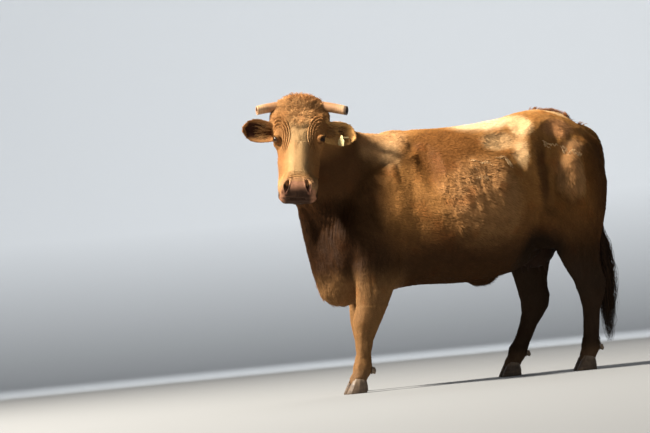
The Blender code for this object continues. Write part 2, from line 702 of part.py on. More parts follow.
def foot(leg, path):
    """Two claws and two dewclaws at the end of a leg path."""
    made = []
    foot_x, foot_y, _ = path[-1]
    fetlock = Vector(path[-4])
    for number, sign in (("outer", 1), ("inner", -1)):
        side = sign if foot_x > 0 else -sign
        centre = (foot_x + 0.0305 * side, foot_y - 0.004, 0.0)
        made.append(claw("claw_%s_%s" % (leg, number), centre, -2.0 * side, -side))
        heel = fetlock + Vector((0.026 * side, 0.050, -0.016))
        made.append(ball("dewclaw_%s_%s" % (leg, number), heel, (0.013, 0.015, 0.022), (24, 0, 0), 1))
    return made


def tail_pieces():
    centres = [row[0] for row in TAIL]
    radii = [row[1] for row in TAIL]
    dock = tube("tail", centres, radii, radii, count=10, steps=2)
    centres = [row[0] for row in SWITCH]
    radii = [row[1] for row in SWITCH]
    switch = tube("tail_switch", centres, radii, [0.8 * r for r in radii], count=10, steps=2)
    return dock, switch


def udder():
    """A small beef cow's udder with four short teats, tucked up between the thighs."""
    bag = ball("udder", (0.0, 0.395, 0.690), (0.092, 0.130, 0.118), (-8, 0, 0))
    for x in (-0.040, 0.040):
        for y in (0.345, 0.440):
            teat = ball("teat", (x * 1.05, y, 0.575), (0.012, 0.012, 0.040), (0, -200 * x, 0), 1)
            boolean(bag, teat, "UNION")
            bpy.data.objects.remove(teat)
    return bag


# ---- putting it together ----
def cut_out(flesh, name, cutter):
    """Takes the flesh inside the cutter as its own piece and leaves a thin gap round it."""
    piece = copied(flesh, name)
    boolean(piece, cutter, "INTERSECT")
    wider = swollen(cutter, 2 * GAP)
    boolean(flesh, wider)
    bpy.data.objects.remove(cutter)
    bpy.data.objects.remove(wider)
    keep_largest(piece)
    return piece


def head_block():
    turn = Matrix.Translation(HEAD_PLACE) @ Matrix.Rotation(math.radians(HEAD_YAW), 4, "Z")
    return block("head_block", HEAD_CUT, -0.6, 0.6, turn)


def make_flesh():
    """The whole animal as one coarse surface, and the head again as a finer one."""
    coarse = fused(joined("flesh", body_masses() + head_masses()), BODY_VOXEL, 6)
    fine = fused(joined("head", neck_masses() + head_masses()), HEAD_VOXEL, 4)
    for obj, triangles in ((coarse, BODY_TRIANGLES), (fine, HEAD_TRIANGLES)):
        shape_flesh(obj)
        thin = obj.modifiers.new("thin", "DECIMATE")
        thin.ratio = triangles / (2 * len(obj.data.polygons))
        apply_modifiers(obj)
    return coarse, fine


def part_flesh(flesh, fine, turn):
    """Head, neck, legs and trunk, parted by thin cuts."""
    cutter = head_block()
    boolean(fine, cutter, "INTERSECT")
    keep_largest(fine)
    eye_sockets(fine, turn)
    spare = cut_out(flesh, "spare", cutter)
    bpy.data.objects.remove(spare)
    pieces = [fine]
    pieces.append(cut_out(flesh, "neck", block("neck_block", NECK_CUT, -0.7, 0.7)))
    quarter = Matrix.Rotation(math.radians(90), 4, "Z")
    for side, sign in (("left", 1), ("right", -1)):
        # The fore leg's outline runs sideways, so its block is turned to run fore and aft.
        outline = [(-x * sign, z) for x, z in FORE_CUT]
        cutter = block("fore_block", outline, -0.95, -0.345, quarter)
        pieces.append(cut_out(flesh, "foreleg_" + side, cutter))
        low, high = sorted((0.003 * sign, 0.600 * sign))
        cutter = block("thigh_block", THIGH_CUTS[side], low, high)
        pieces.append(cut_out(flesh, "hindleg_" + side, cutter))
    keep_largest(flesh)
    flesh.name = "trunk"
    return pieces + [flesh]


def trim(obj, cutters):
    for cutter in cutters:
        boolean(obj, cutter)
    keep_largest(obj)
    return obj


def main():
    clear_scene()
    turn = head_matrix()
    pieces = part_flesh(*make_flesh(), turn)
    cutters = {piece.name: swollen(piece, GAP) for piece in pieces}
    for side in ("left", "right"):
        pieces.append(eye(side, turn))
        pieces.append(trim(horn(side, turn), [cutters["head"]]))
        pieces.append(trim(ear(side, turn), [cutters["head"], cutters["neck"]]))
        for claw_piece in foot("fore_" + side, FORE_PATHS[side]):
            pieces.append(trim(claw_piece, [cutters["foreleg_" + side]]))
        for claw_piece in foot("hind_" + side, HIND_PATHS[side]):
            pieces.append(trim(claw_piece, [cutters["hindleg_" + side]]))
    around = [cutters["trunk"], cutters["hindleg_left"], cutters["hindleg_right"]]
    dock, switch = tail_pieces()
    pieces += [trim(dock, around), trim(udder(), around)]
    cutters["tail"] = swollen(dock, GAP)
    left_ear = next(piece for piece in pieces if piece.name == "ear_left")
    cutters["ear"] = swollen(left_ear, GAP)
    pieces += [trim(switch, [cutters["tail"]]), trim(ear_tag(), [cutters["ear"]])]
    for cutter in cutters.values():
        bpy.data.objects.remove(cutter)
    finish(pieces)


def finish(pieces):
    """Centres the model on its box, on the floor, and gives each piece its material."""
    corners = np.array([v.co for obj in pieces for v in obj.data.vertices])
    low, high = corners.min(axis=0), corners.max(axis=0)
    shift = Matrix.Translation((-(low[0] + high[0]) / 2, -(low[1] + high[1]) / 2, -low[2]))
    coat = material("coat", (0.40, 0.19, 0.075), 0.75)
    pale = material("horn", (0.62, 0.48, 0.32), 0.45)
    hoof = material("hoof", (0.10, 0.075, 0.055), 0.5)
    wet = material("eye", (0.02, 0.012, 0.008), 0.08)
    hair = material("tail_hair", (0.045, 0.028, 0.018), 0.8)
    bare = material("udder_skin", (0.42, 0.25, 0.17), 0.65)
    plastic = material("tag_plastic", (0.85, 0.72, 0.30), 0.45)
    finishes = {"horn": pale, "claw": hoof, "dewclaw": hoof, "eye": wet, "udder": bare}
    cow = collection("cow")
    for obj in pieces:
        obj.data.transform(shift)
        kind = obj.name.split("_")[0]
        chosen = finishes.get(kind, coat)
        if obj.name == "tail_switch":
            chosen = hair
        if obj.name == "ear_tag":
            chosen = plastic
        obj.data.materials.clear()
        obj.data.materials.append(chosen)
        shade(obj)
        for held in list(obj.users_collection):
            held.objects.unlink(obj)
        cow.objects.link(obj)


main()
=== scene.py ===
"""The looks of a life-size beef cow that stands still and turns its head to its left.

One skin covers all the flesh, with lids, folds, nostrils and lips worked into it, and a coat of fine
solid tufts lies over it. Eyes, horns, claws, ear tag and tail hair are pieces of their own. Places
are in the cow's own measure: metres, it faces -Y, its left is +X, z = 0 is the floor and x = 0 the
spine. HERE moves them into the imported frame.
"""

import math

import bmesh
import bpy
import numpy as np
from mathutils import Matrix, Vector


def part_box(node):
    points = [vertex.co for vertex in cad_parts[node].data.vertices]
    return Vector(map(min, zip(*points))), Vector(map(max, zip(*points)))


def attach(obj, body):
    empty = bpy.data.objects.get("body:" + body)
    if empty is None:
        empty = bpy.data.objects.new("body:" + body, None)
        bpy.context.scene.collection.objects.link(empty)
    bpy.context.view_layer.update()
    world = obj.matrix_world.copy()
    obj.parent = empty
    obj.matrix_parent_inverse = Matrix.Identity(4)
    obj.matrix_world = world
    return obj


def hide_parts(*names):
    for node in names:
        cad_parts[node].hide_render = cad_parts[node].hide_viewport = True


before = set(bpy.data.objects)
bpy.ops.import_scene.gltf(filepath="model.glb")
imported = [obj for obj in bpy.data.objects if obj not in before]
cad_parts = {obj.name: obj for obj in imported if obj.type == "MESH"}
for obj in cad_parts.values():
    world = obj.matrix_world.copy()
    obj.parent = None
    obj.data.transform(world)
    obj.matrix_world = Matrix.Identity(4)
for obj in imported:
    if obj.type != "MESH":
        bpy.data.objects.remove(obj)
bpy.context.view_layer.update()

FLESH = ("head", "neck", "trunk", "foreleg_left", "foreleg_right", "hindleg_left", "hindleg_right")
FLESH += ("ear_left", "ear_right", "tail", "udder")
SIDES = (("left", 1), ("right", -1))
random = np.random.default_rng(20)

# ---- the head's own measure: it faces -Y, its forehead lies on z = 0, x is sideways ----
HEAD_PLACE = (0.118, -0.872, 1.533)
HEAD_YAW, HEAD_PITCH, HEAD_ROLL = 65.5, 50.0, 8.5
EYE_PLACE = (0.1120, -0.207, -0.055)
EYE_RADIUS = 0.0215
EYE_GAZE = (0.77, -0.36, 0.53)
EYE_LONG = (-0.64, -0.58, 0.44)  # from the outer corner of the lids to the inner one
LID_HALF_LENGTH, LID_HALF_HEIGHT = 0.0165, 0.0100
NOSTRIL_PLACE = (0.056, -0.543, -0.052)
NOSTRIL_INTO = (-0.25, 0.86, -0.42)
NOSTRIL_LONG = (-0.16, -0.45, -0.88)
MOUTH = [(0, -0.585, -0.103), (0.035, -0.581, -0.105), (0.064, -0.569, -0.112), (0.083, -0.532, -0.124),
         (0.093, -0.480, -0.134), (0.096, -0.430, -0.140), (0.094, -0.392, -0.143)]
WHORL = (0.0, -0.105, 0.0)  # where the hair of the face parts
CREST_WAY = (0.0, 0.60, 0.80)  # how the old hair on the croup stands, in the cow's measure
HORN_BASE = (0.080, 0.014, -0.030)
HORN_DIRECTION = (0.940, -0.255, 0.165)
HORN_LENGTH = {"left": 0.176, "right": 0.150}
HORN_RADII = (0.0290, 0.0245)
HORN_SAG = (0.0, -0.010, -0.008)
EAR_BASE = {"left": (0.105, -0.100, -0.094), "right": (-0.105, -0.112, -0.104)}
EAR_DIRECTION = {"left": (0.960, -0.190, -0.070), "right": (-0.970, 0.060, 0.110)}
EAR_FACING = {"left": (0.150, -0.600, 0.780), "right": (0.080, -0.720, 0.690)}
EAR_LENGTH = 0.195

# ---- sizes of skin, coat and claws ----
SKIN_VOXEL = 0.007
BRIDGE = 0.0015  # how far the solids swell so that the thin cuts between them close
LID_LIFT = 0.0018  # least height of the lids over the eyeball
# The skin is painted darker than its hair, as painted shade in the gaps between the tufts.
SKIN_GAP_SHADE = 0.85  # the skin's colour as a share of its hair's
HOOF_TOP = 0.085  # where the hair of the foot ends
PATCH = 0.0015  # reach of one tuft or strand in the bake map
RIDGE_AT = 0.36  # where a tuft is thickest, as a share of its length

# ---- colours ----
CREAM, PALE = (0.74, 0.47, 0.225), (0.80, 0.55, 0.31)
GOLD, PALE_FACE = (0.47, 0.215, 0.062), (0.60, 0.385, 0.180)
TAN, COAT_OLD, THIGH_OLD = (0.50, 0.270, 0.115), (0.48, 0.245, 0.095), (0.58, 0.30, 0.12)
CROUP, RUMP = (0.44, 0.205, 0.082), (0.50, 0.26, 0.11)
# Rust is the coat's own red-brown; the dark brown and the near black after it are painted shade.
RUST, SHADE_BROWN, SHADE_BLACK = (0.195, 0.076, 0.019), (0.085, 0.036, 0.014), (0.016, 0.009, 0.005)
# Painted shadow of the head for the neck and chest, and painted shade for the udder.
NECK_SHADOW, CHEST_SHADOW, UDDER_SHADE = (0.055, 0.026, 0.012), (0.034, 0.014, 0.005), (0.036, 0.019, 0.012)
FORELEG, HINDLEG, PASTERN = (0.28, 0.143, 0.055), (0.050, 0.030, 0.018), (0.20, 0.115, 0.060)
FACE, FACE_SIDE, CURL = (0.47, 0.245, 0.095), (0.30, 0.125, 0.036), (0.56, 0.30, 0.12)
LIDS, LID_RIM, TEARS = (0.17, 0.078, 0.030), (0.030, 0.016, 0.011), (0.13, 0.050, 0.020)
MUZZLE, CHIN_DARK_AND_SHADE = (0.47, 0.25, 0.120), (0.055, 0.030, 0.018)
PINK, PINK_DARK, PAD_DARK_AND_SHADE = (0.44, 0.21, 0.12), (0.30, 0.135, 0.075), (0.034, 0.019, 0.013)
WING, NOSTRIL_SHADE, LIPS = (0.46, 0.20, 0.125), (0.035, 0.016, 0.011), (0.09, 0.045, 0.030)
# The left ear is painted lighter, as painted light, and the right darker, as painted shade; the cup colour is
# painted shade in the hollows.
EAR_LIT_AND_SHADED = {"right": (0.42, 0.205, 0.075), "left": (0.66, 0.36, 0.125)}
EAR_CUP_SHADE, EAR_RIM = (0.055, 0.022, 0.013), (0.17, 0.080, 0.036)
CREST, SHED_HAIR, EAR_HAIR = (0.34, 0.150, 0.064), (0.86, 0.57, 0.29), (0.58, 0.32, 0.125)
LASH, SWITCH_DARK, SWITCH_BROWN = (0.045, 0.026, 0.016), (0.022, 0.014, 0.010), (0.10, 0.052, 0.026)
EYE_WHITE, IRIS = (0.10, 0.060, 0.042), (0.032, 0.014, 0.006)
IRIS_EDGE, PUPIL = (0.012, 0.008, 0.007), (0.008, 0.006, 0.005)
HORN_ROOT, HORN_MIDDLE, HORN_END = (0.28, 0.115, 0.040), (0.46, 0.235, 0.105), (0.62, 0.38, 0.20)
HORN_GROOVE, HORN_STAIN = (0.30, 0.15, 0.07), (0.32, 0.17, 0.08)
HORN_RIM = {"left": (0.045, 0.030, 0.022), "right": (0.50, 0.27, 0.13)}
HORN_CORE = {"left": (0.016, 0.011, 0.008), "right": (0.20, 0.095, 0.040)}
CLAW_DARK, CLAW_PALE = (0.060, 0.040, 0.028), (0.20, 0.130, 0.078)
CLAW_TOP, CLAW_EDGE = (0.24, 0.17, 0.11), (0.09, 0.062, 0.04)
TAG_YELLOW, TAG_DIRT = (0.80, 0.66, 0.33), (0.48, 0.34, 0.15)


def unit(vector):
    vector = np.array(vector, float)
    return vector / np.linalg.norm(vector, axis=-1, keepdims=True)


def across(way, normal):
    """The part of a direction that lies square to a normal, as a direction."""
    return unit(way - normal * (way @ normal))


def mirrored(place, side):
    return np.array(place, float) * (side, 1, 1)


def both_sides(points):
    """The points, with those of the right side mirrored to the left."""
    return points * np.where(points[:, :1] < 0, (-1, 1, 1), (1, 1, 1))


def head_matrix():
    """From the head's own measure to the cow's."""
    turn = Matrix.Rotation(math.radians(HEAD_YAW), 4, "Z")
    nod = Matrix.Rotation(math.radians(HEAD_PITCH), 4, "X")
    tilt = Matrix.Rotation(math.radians(HEAD_ROLL), 4, "Y")
    return Matrix.Translation(HEAD_PLACE) @ turn @ nod @ tilt


HEAD = head_matrix()
HEAD_TURN = np.array(HEAD.to_3x3())
EYE_LOW, EYE_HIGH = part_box("eye_left")
HERE = (EYE_LOW + EYE_HIGH) / 2 - HEAD @ Vector(EYE_PLACE)


def to_head(points):
    return (points - np.array(HEAD_PLACE)) @ HEAD_TURN


def from_head(points):
    return np.asarray(points) @ HEAD_TURN.T + np.array(HEAD_PLACE)


# ---- soft shapes in space ----
def ease(low, high, value):
    """0 at low, 1 at high, smooth between and flat beyond."""
    share = np.clip((value - low) / (high - low), 0, 1)
    return share * share * (3 - 2 * share)


def near(points, place, reach):
    """1 at the place, falling to 0 over an ellipsoid of that reach."""
    far = ((points - np.array(place)) / np.array(reach)) ** 2
    return np.clip(1 - far.sum(axis=1), 0, 1) ** 2


def bell(value, middle, width):
    """1 at the middle, falling off on both sides over about that width."""
    return np.exp(-(((value - middle) / width) ** 2))


def waves(value, length):
    return np.sin(value * 2 * math.pi / length)


def pushed(points, forms):
    """How far a list of forms (place, reach, push) moves the skin at each point."""
    return sum(push * near(points, place, reach) for place, reach, push in forms)


def to_path(points, path):
    """How far each point is from a line through the path's points."""
    nearest = np.full(len(points), 9.0)
    for a, b in zip(np.array(path[:-1], float), np.array(path[1:], float)):
        along = b - a
        share = np.clip((points - a) @ along / (along @ along), 0, 1)
        nearest = np.minimum(nearest, np.linalg.norm(points - a - share[:, None] * along, axis=1))
    return nearest


LATTICE = np.random.default_rng(7).uniform(-1, 1, 64**3).astype(np.float32)


def noise(points, size, seed=0):
    """Smooth noise from -1 to 1 that changes over about that size in metres."""
    scaled = np.asarray(points, np.float32) / np.float32(size) + np.float32(31.7 * (seed + 1))
    cell = np.floor(scaled)
    share = scaled - cell
    along_x, along_y, along_z = (share * share * (3 - 2 * share)).T
    x, y, z = (cell.astype(np.int32) & 63).T
    next_x, next_y, next_z = (x + 1) & 63, (y + 1) & 63, (z + 1) & 63

    def between(i, j):
        row = (i << 12) | (j << 6)
        low = LATTICE[row | z]
        return low + along_z * (LATTICE[row | next_z] - low)

    first, second = between(x, y), between(next_x, y)
    first = first + along_y * (between(x, next_y) - first)
    second = second + along_y * (between(next_x, next_y) - second)
    return (first + along_x * (second - first)).astype(float)


def layered(points, size, seed=0, layers=3):
    """Noise with finer noise on it."""
    return sum(noise(points, size / 2**i, seed + i) / 2**i for i in range(layers)) / 1.6


# ---- meshes ----
def read(items, what, width=3):
    values = np.empty(len(items) * width)
    items.foreach_get(what, values)
    return values.reshape(-1, width)


def write(mesh, points):
    mesh.vertices.foreach_set("co", np.ascontiguousarray(points, np.float32).ravel())
    mesh.update()


def points_of(mesh):
    return read(mesh.vertices, "co")


def normals_of(mesh):
    return read(mesh.vertex_normals, "vector")


def placed(name, data):
    """A new object in the scene."""
    made = bpy.data.objects.new(name, data)
    bpy.context.scene.collection.objects.link(made)
    return made


def mesh_from(name, points, faces):
    """A smooth mesh object from arrays; faces is a list of arrays, one for each number of corners."""
    mesh = bpy.data.meshes.new(name)
    mesh.vertices.add(len(points))
    mesh.vertices.foreach_set("co", np.ascontiguousarray(points, np.float32).ravel())
    corners = np.concatenate([np.asarray(group, np.int32).ravel() for group in faces])
    sizes = np.concatenate([np.full(len(group), np.shape(group)[1], np.int32) for group in faces])
    mesh.loops.add(len(corners))
    mesh.loops.foreach_set("vertex_index", corners)
    mesh.polygons.add(len(sizes))
    mesh.polygons.foreach_set("loop_start", np.concatenate([[0], np.cumsum(sizes)[:-1]]).astype(np.int32))
    mesh.update(calc_edges=True)
    mesh.shade_smooth()
    return placed(name, mesh)


def paint(mesh, colours):
    """One colour for each point, which the material reads by the name Hue."""
    layer = mesh.color_attributes.new("Hue", "FLOAT_COLOR", "POINT")
    full = np.ones((len(mesh.vertices), 4), np.float32)
    full[:, :3] = np.clip(colours, 0, 1)
    layer.data.foreach_set("color", full.ravel())


def finished(obj, slot, material, *nodes):
    """Puts a made piece in the frame: its place, finish and the CAD nodes it stands for. slot is not used."""
    obj.data.materials.clear()
    obj.data.materials.append(material)
    obj.location = HERE
    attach(obj, "root")
    if nodes:
        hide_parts(*nodes)


def from_bmesh(name, shape):
    mesh = bpy.data.meshes.new(name)
    shape.to_mesh(mesh)
    shape.free()
    return placed(name, mesh)


def from_nodes(name, nodes, swell=0.0):
    """The CAD nodes' meshes as one object in the cow's own measure, swollen a little."""
    shape = bmesh.new()
    for node in nodes:
        shape.from_mesh(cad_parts[node].data)
    bmesh.ops.remove_doubles(shape, verts=shape.verts, dist=1e-5)
    bmesh.ops.translate(shape, vec=-HERE, verts=shape.verts)
    shape.normal_update()
    for vert in shape.verts:
        vert.co += vert.normal * swell
    return from_bmesh(name, shape)


def remeshed(obj, voxel):
    """Fuses the object's solids into one even mesh."""
    step = obj.modifiers.new("fuse", "REMESH")
    step.mode = "VOXEL"
    step.voxel_size = voxel
    mesh = bpy.data.meshes.new_from_object(obj.evaluated_get(bpy.context.evaluated_depsgraph_get()))
    obj.modifiers.clear()
    obj.data = mesh
    return obj


def relaxed(mesh, passes, weight=1.0, keep=0.52):
    """Smooths the points without shrinking the form; weight says how much, point by point."""
    points = points_of(mesh)
    a, b = read(mesh.edges, "vertices", 2).astype(np.int64).T
    count = len(points)
    degree = np.maximum(np.bincount(a, minlength=count) + np.bincount(b, minlength=count), 1)
    weight = np.broadcast_to(weight, count)
    for _ in range(passes):
        for step in (0.5, -keep):
            for axis in range(3):
                values = points[:, axis]
                around = np.bincount(a, values[b], count) + np.bincount(b, values[a], count)
                points[:, axis] = values + weight * step * (around / degree - values)
    write(mesh, points)


def refined(mesh, mask):
    """Splits each face whose points are all in the mask into four."""
    shape = bmesh.new()
    shape.from_mesh(mesh)
    inside = mask.tolist()
    edges = [e for e in shape.edges if inside[e.verts[0].index] and inside[e.verts[1].index]]
    bmesh.ops.subdivide_edges(shape, edges=edges, cuts=1, use_grid_fill=True)
    bmesh.ops.triangulate(shape, faces=[f for f in shape.faces if len(f.verts) > 4])
    shape.to_mesh(mesh)
    shape.free()


# ---- where things are on the body ----
def on_head(points):
    """1 on the head, falling to 0 where it meets the neck."""
    x, y, z = to_head(points).T
    length = ease(-0.66, -0.60, y) * ease(0.09, 0.04, y)
    return length * ease(-0.34, -0.27, z) * ease(0.34, 0.27, np.abs(x))


def ear_axes(side):
    """Where an ear begins, along it to its tip, and out of its hollow."""
    along = unit(EAR_DIRECTION[side])
    return np.array(EAR_BASE[side]), along, across(np.array(EAR_FACING[side], float), along)


def ear_leaf(far, wide):
    """The height of the ear's curved leaf over its middle line."""
    return 0.052 * (wide / 0.066) ** 2 - 0.018 * (1 - 0.55 * far / EAR_LENGTH)


def on_ears(points):
    """How far each point is up an ear, 0 off the ears and 1 at a tip."""
    face = to_head(points)
    share = np.zeros(len(points))
    for side, _ in SIDES:
        base, along, facing = ear_axes(side)
        away = face - base
        far = away @ along
        wide = np.linalg.norm(away - far[:, None] * along, axis=1)
        inside = (far > 0.022) & (far < EAR_LENGTH + 0.03) & (wide < 0.078)
        inside &= (np.abs(away @ facing - ear_leaf(far, wide)) < 0.020) & (np.abs(face[:, 0]) > 0.126)
        share = np.where(inside, np.maximum(share, far / EAR_LENGTH), share)
    return np.clip(share, 0, 1)


def coat_depth(points):
    """How deep the skin lies under the tips of the hair."""
    head = on_head(points)
    depth = np.where(points[:, 2] < 0.45, 0.0030, 0.0050)
    depth = depth + head * (0.0026 - depth)
    depth = depth + ease(-0.42, -0.50, to_head(points)[:, 1]) * head * (0.0006 - depth)
    bald = (on_ears(points) > 0) | (near(points, (0.0, 0.395, 0.640), (0.13, 0.17, 0.16)) > 0)
    return np.where(bald, 0.0012, depth)


# ---- skin ----
def skin_shell():
    """One closed surface through all the flesh, finest on the face, and softened where it is faceted."""
    skin = remeshed(from_nodes("skin", FLESH + ("eye_left", "eye_right"), BRIDGE), SKIN_VOXEL)
    mesh = skin.data
    points = points_of(mesh)
    weight = (0.35 + 0.65 * ease(0.10, 0.70, points[:, 2])) * (1 - 0.80 * on_head(points))
    relaxed(mesh, 60, np.where(on_ears(points) > 0, 0.10, weight), 0.512)
    points = points_of(mesh)
    write(mesh, over_eyes(points - normals_of(mesh) * (coat_depth(points) + BRIDGE)[:, None]))
    refined(mesh, on_head(points_of(mesh)) > 0.02)
    relaxed(mesh, 4, on_head(points_of(mesh)))
    write(mesh, over_eyes(points_of(mesh)))
    refined(mesh, worked_face(points_of(mesh)))
    relaxed(mesh, 3, worked_face(points_of(mesh)) * 1.0)
    refined(mesh, openings(points_of(mesh), 0.034))
    relaxed(mesh, 3, openings(points_of(mesh), 0.036) * 1.0)
    write(mesh, over_eyes(points_of(mesh)))
    return skin


def over_eyes(points):
    """Moves the points that lie within an eyeball out to its surface, so that the skin covers it."""
    face = to_head(points)
    for _, side in SIDES:
        centre = mirrored(EYE_PLACE, side)
        far = np.linalg.norm(face - centre, axis=1, keepdims=True)
        face = centre + (face - centre) * np.maximum(1, (EYE_RADIUS + LID_LIFT) / np.maximum(far, 0.004))
    return from_head(face)


def openings(points, reach):
    """True within that reach of an eye or a nostril."""
    face = to_head(points)
    places = [mirrored(place, side) for place in (EYE_PLACE, NOSTRIL_PLACE) for _, side in SIDES]
    return np.any([np.linalg.norm(face - place, axis=1) < reach for place in places], axis=0)


def worked_face(points):
    """The parts of the face with the finest form: brows, eyes, muzzle and lips."""
    x, y, z = to_head(points).T
    muzzle = (y < -0.415) & (y > -0.64) & (z > -0.22)
    brows = (y > -0.30) & (y < -0.07) & (z > -0.13) & (np.abs(x) > 0.030) & (np.abs(x) < 0.150)
    return muzzle | brows


def eye_axes(side):
    """Out of the eye, along the opening of its lids, and across it."""
    out = unit(mirrored(EYE_GAZE, side))
    long = across(mirrored(EYE_LONG, side), out)
    return out, long, np.cross(long, out) * side


def round_lids(face, side):
    """How far out from the middle of the lids each point is: 1 on their rim, 9 away from the eye."""
    out, long, high = eye_axes(side)
    away = face - mirrored(EYE_PLACE, side)
    far = np.linalg.norm(away, axis=1)
    facing = (away @ out > 0) & (far < 0.075)
    away = away * np.maximum(1, EYE_RADIUS / np.maximum(far, 0.001))[:, None]
    p, q = np.abs(away @ long) / LID_HALF_LENGTH, np.abs(away @ high) / LID_HALF_HEIGHT
    return np.where(facing, (p**1.7 + q**1.7) ** (1 / 1.7), 9.0)


def shape_eye(face, side):
    """Sinks the opening between the lids under the eyeball, and lays the lids on it."""
    out, _, high = eye_axes(side)
    centre = mirrored(EYE_PLACE, side)
    away = face - centre
    a = round_lids(face, side)
    # The points near the rim are drawn to it, which keeps the edge of the lids crisp.
    scale = 1 + 0.65 * bell(a, 1.0, 0.10) * (1.0 - a) / np.maximum(a, 0.05)
    level = (away @ out)[:, None] * out
    away = level + (away - level) * scale[:, None]
    a = a * scale
    upper = ease(-0.2, 0.5, away @ high / LID_HALF_HEIGHT)
    far = np.linalg.norm(away, axis=1)
    rise = -0.0045 + (0.0062 + 0.0016 * upper) * ease(0.86, 1.0, a)
    rise += (0.0006 + 0.0010 * upper) * bell(a, 1.38, 0.25) + 0.0016 * ease(1.2, 1.9, a)
    rise -= (0.0022 * upper + 0.0004) * bell(a, 2.10, 0.20)
    moved = far + (1 - ease(1.7, 4.6, a)) * (EYE_RADIUS + rise - far)
    moved = np.where(a > 1.0, np.maximum(moved, EYE_RADIUS + LID_LIFT), moved)
    return centre + away * (moved / np.maximum(far, 1e-6))[:, None]


def brow_folds(face, side):
    """Arcs of loose skin that run round the eye, over it and down between eye and nose."""
    x, y, z = mirrored(face, side).T
    dx, dy = (x - EYE_PLACE[0]) / 0.055, (y - EYE_PLACE[1]) / 0.100
    ring = np.sqrt(dx**2 + dy**2) + 0.05 * noise(face, 0.03, 4)
    angle = np.arctan2(dy, -dx)
    window = ease(0.52, 0.66, ring) * ease(1.36, 1.14, ring)
    window *= ease(-1.05, -0.55, angle) * ease(2.35, 1.75, angle) * ease(-0.11, -0.05, z) * (x > 0)
    return window * (0.0031 * waves(ring, 0.185) + 0.0008)


def nostril_push(face, side):
    """A comma-shaped hole under a raised wing."""
    into = unit(mirrored(NOSTRIL_INTO, side))
    long = across(mirrored(NOSTRIL_LONG, side), into)
    away = face - mirrored(NOSTRIL_PLACE, side)
    p, q, w = away @ long, away @ np.cross(long, into) * side, away @ into
    q = q + 0.006 * (p / 0.02) ** 2 * np.sign(-p) * 0.5
    far = np.sqrt((p / 0.0250) ** 2 + (q / (0.0105 - 0.16 * np.clip(p, -0.02, 0.02))) ** 2)
    push = 0.024 * ease(1.12, 0.55, far) - 0.0034 * bell(far, 1.45, 0.30)
    return (push * (np.abs(w) < 0.05))[:, None] * into


def lip_lines(face):
    """Depth of the mouth's groove, with the lips rolled out on both sides of it."""
    far = to_path(both_sides(face), MOUTH)
    groove = -0.0070 * bell(far, 0, 0.0050) + 0.0026 * bell(far, 0.013, 0.007)
    middle = bell(face[:, 0], 0, 0.0022) * near(face, (0, -0.580, -0.085), (0.02, 0.03, 0.04))
    return groove - 0.0022 * middle


def muzzle_wrinkles(face):
    """Cross folds over the nose, just above the bare pad."""
    x, y, z = face.T
    window = ease(-0.505, -0.488, y) * ease(-0.425, -0.450, y) * ease(0.085, 0.050, np.abs(x))
    fold = waves(y + 0.10 * x**2 / 0.05 + 0.003 * noise(face, 0.02, 6), 0.0125)
    return window * ease(-0.12, -0.07, z) * 0.0017 * fold


# Hollows in the face (left side given): place, reach, how far the skin moves.
FACE_HOLLOWS = (
    ((0.105, -0.110, -0.045), (0.045, 0.050, 0.035), -0.006),  # temple
    ((0.104, -0.270, -0.085), (0.035, 0.060, 0.030), -0.005),  # below the eye
    ((0.092, -0.300, -0.140), (0.030, 0.110, 0.018), -0.004),  # edge of the cheek muscle
    ((0.060, -0.500, -0.170), (0.040, 0.040, 0.020), -0.004),  # between lip and chin
)


def face_relief(face):
    """The planes of the face: nose sides, temples, cheek's edge, crown of hair and curls."""
    x, y, z = face.T
    wide = np.abs(x)
    rise = 0.0022 * bell(wide, 0.048, 0.016) * ease(-0.45, -0.38, y) * ease(-0.20, -0.26, y)
    rise -= 0.0040 * bell(wide, 0.082, 0.016) * ease(-0.47, -0.40, y) * ease(-0.24, -0.30, y)
    crown = ease(-0.15, -0.03, y) * ease(-0.11, -0.02, z) * ease(0.15, 0.10, wide)
    rise += crown * (0.0032 * layered(face, 0.026, 8) + 0.002)
    rise += 0.0022 * ease(-0.34, -0.20, y) * ease(0.055, 0.030, wide) * layered(face, 0.022, 9)
    rise -= 0.007 * ease(0.045, 0.095, wide) * ease(-0.10, -0.03, y) * ease(-0.03, 0.01, z)
    return rise + pushed(both_sides(face), FACE_HOLLOWS)


def nose_sides(face):
    """How far the face falls away on both sides of the bridge of the nose."""
    x, y, z = face.T
    wide = np.abs(x)
    window = ease(-0.500, -0.400, y) * ease(-0.12, -0.30, y) * ease(-0.15, -0.06, z)
    edge = ease(-0.30, -0.24, y) * ease(-0.10, -0.16, y) * ease(-0.12, -0.04, z)
    return 0.034 * ease(0.014, 0.094, wide) * window + 0.007 * ease(0.060, 0.100, wide) * edge


def neck_folds(points):
    """Upright folds round the throat, where the turned head packs the skin of the neck."""
    throat = np.array((0.130, -0.960))
    far = np.linalg.norm(points[:, :2] - throat, axis=1)
    drift = 0.012 * noise(points * (1, 1, 0.25), 0.09, 11)
    fold = waves(far + drift, 0.019 + 0.006 * noise(points, 0.2, 12)) * (0.7 + 0.6 * noise(points, 0.05, 13))
    x, y, z = points.T
    window = ease(0.13, 0.18, far) * ease(0.44, 0.27, far) * ease(0.70, 0.92, z) * ease(1.46, 1.36, z)
    window *= ease(-0.05, 0.06, x) * (1 - on_head(points))
    dewlap = ease(-0.70, -0.78, y) * ease(0.50, 0.60, z) * ease(1.15, 0.95, z)
    slack = waves(x * 1.2 + 0.25 * z + 2.5 * drift, 0.045) * (0.5 + 0.8 * noise(points, 0.08, 14))
    return 0.0032 * window * fold + 0.0020 * dewlap * slack


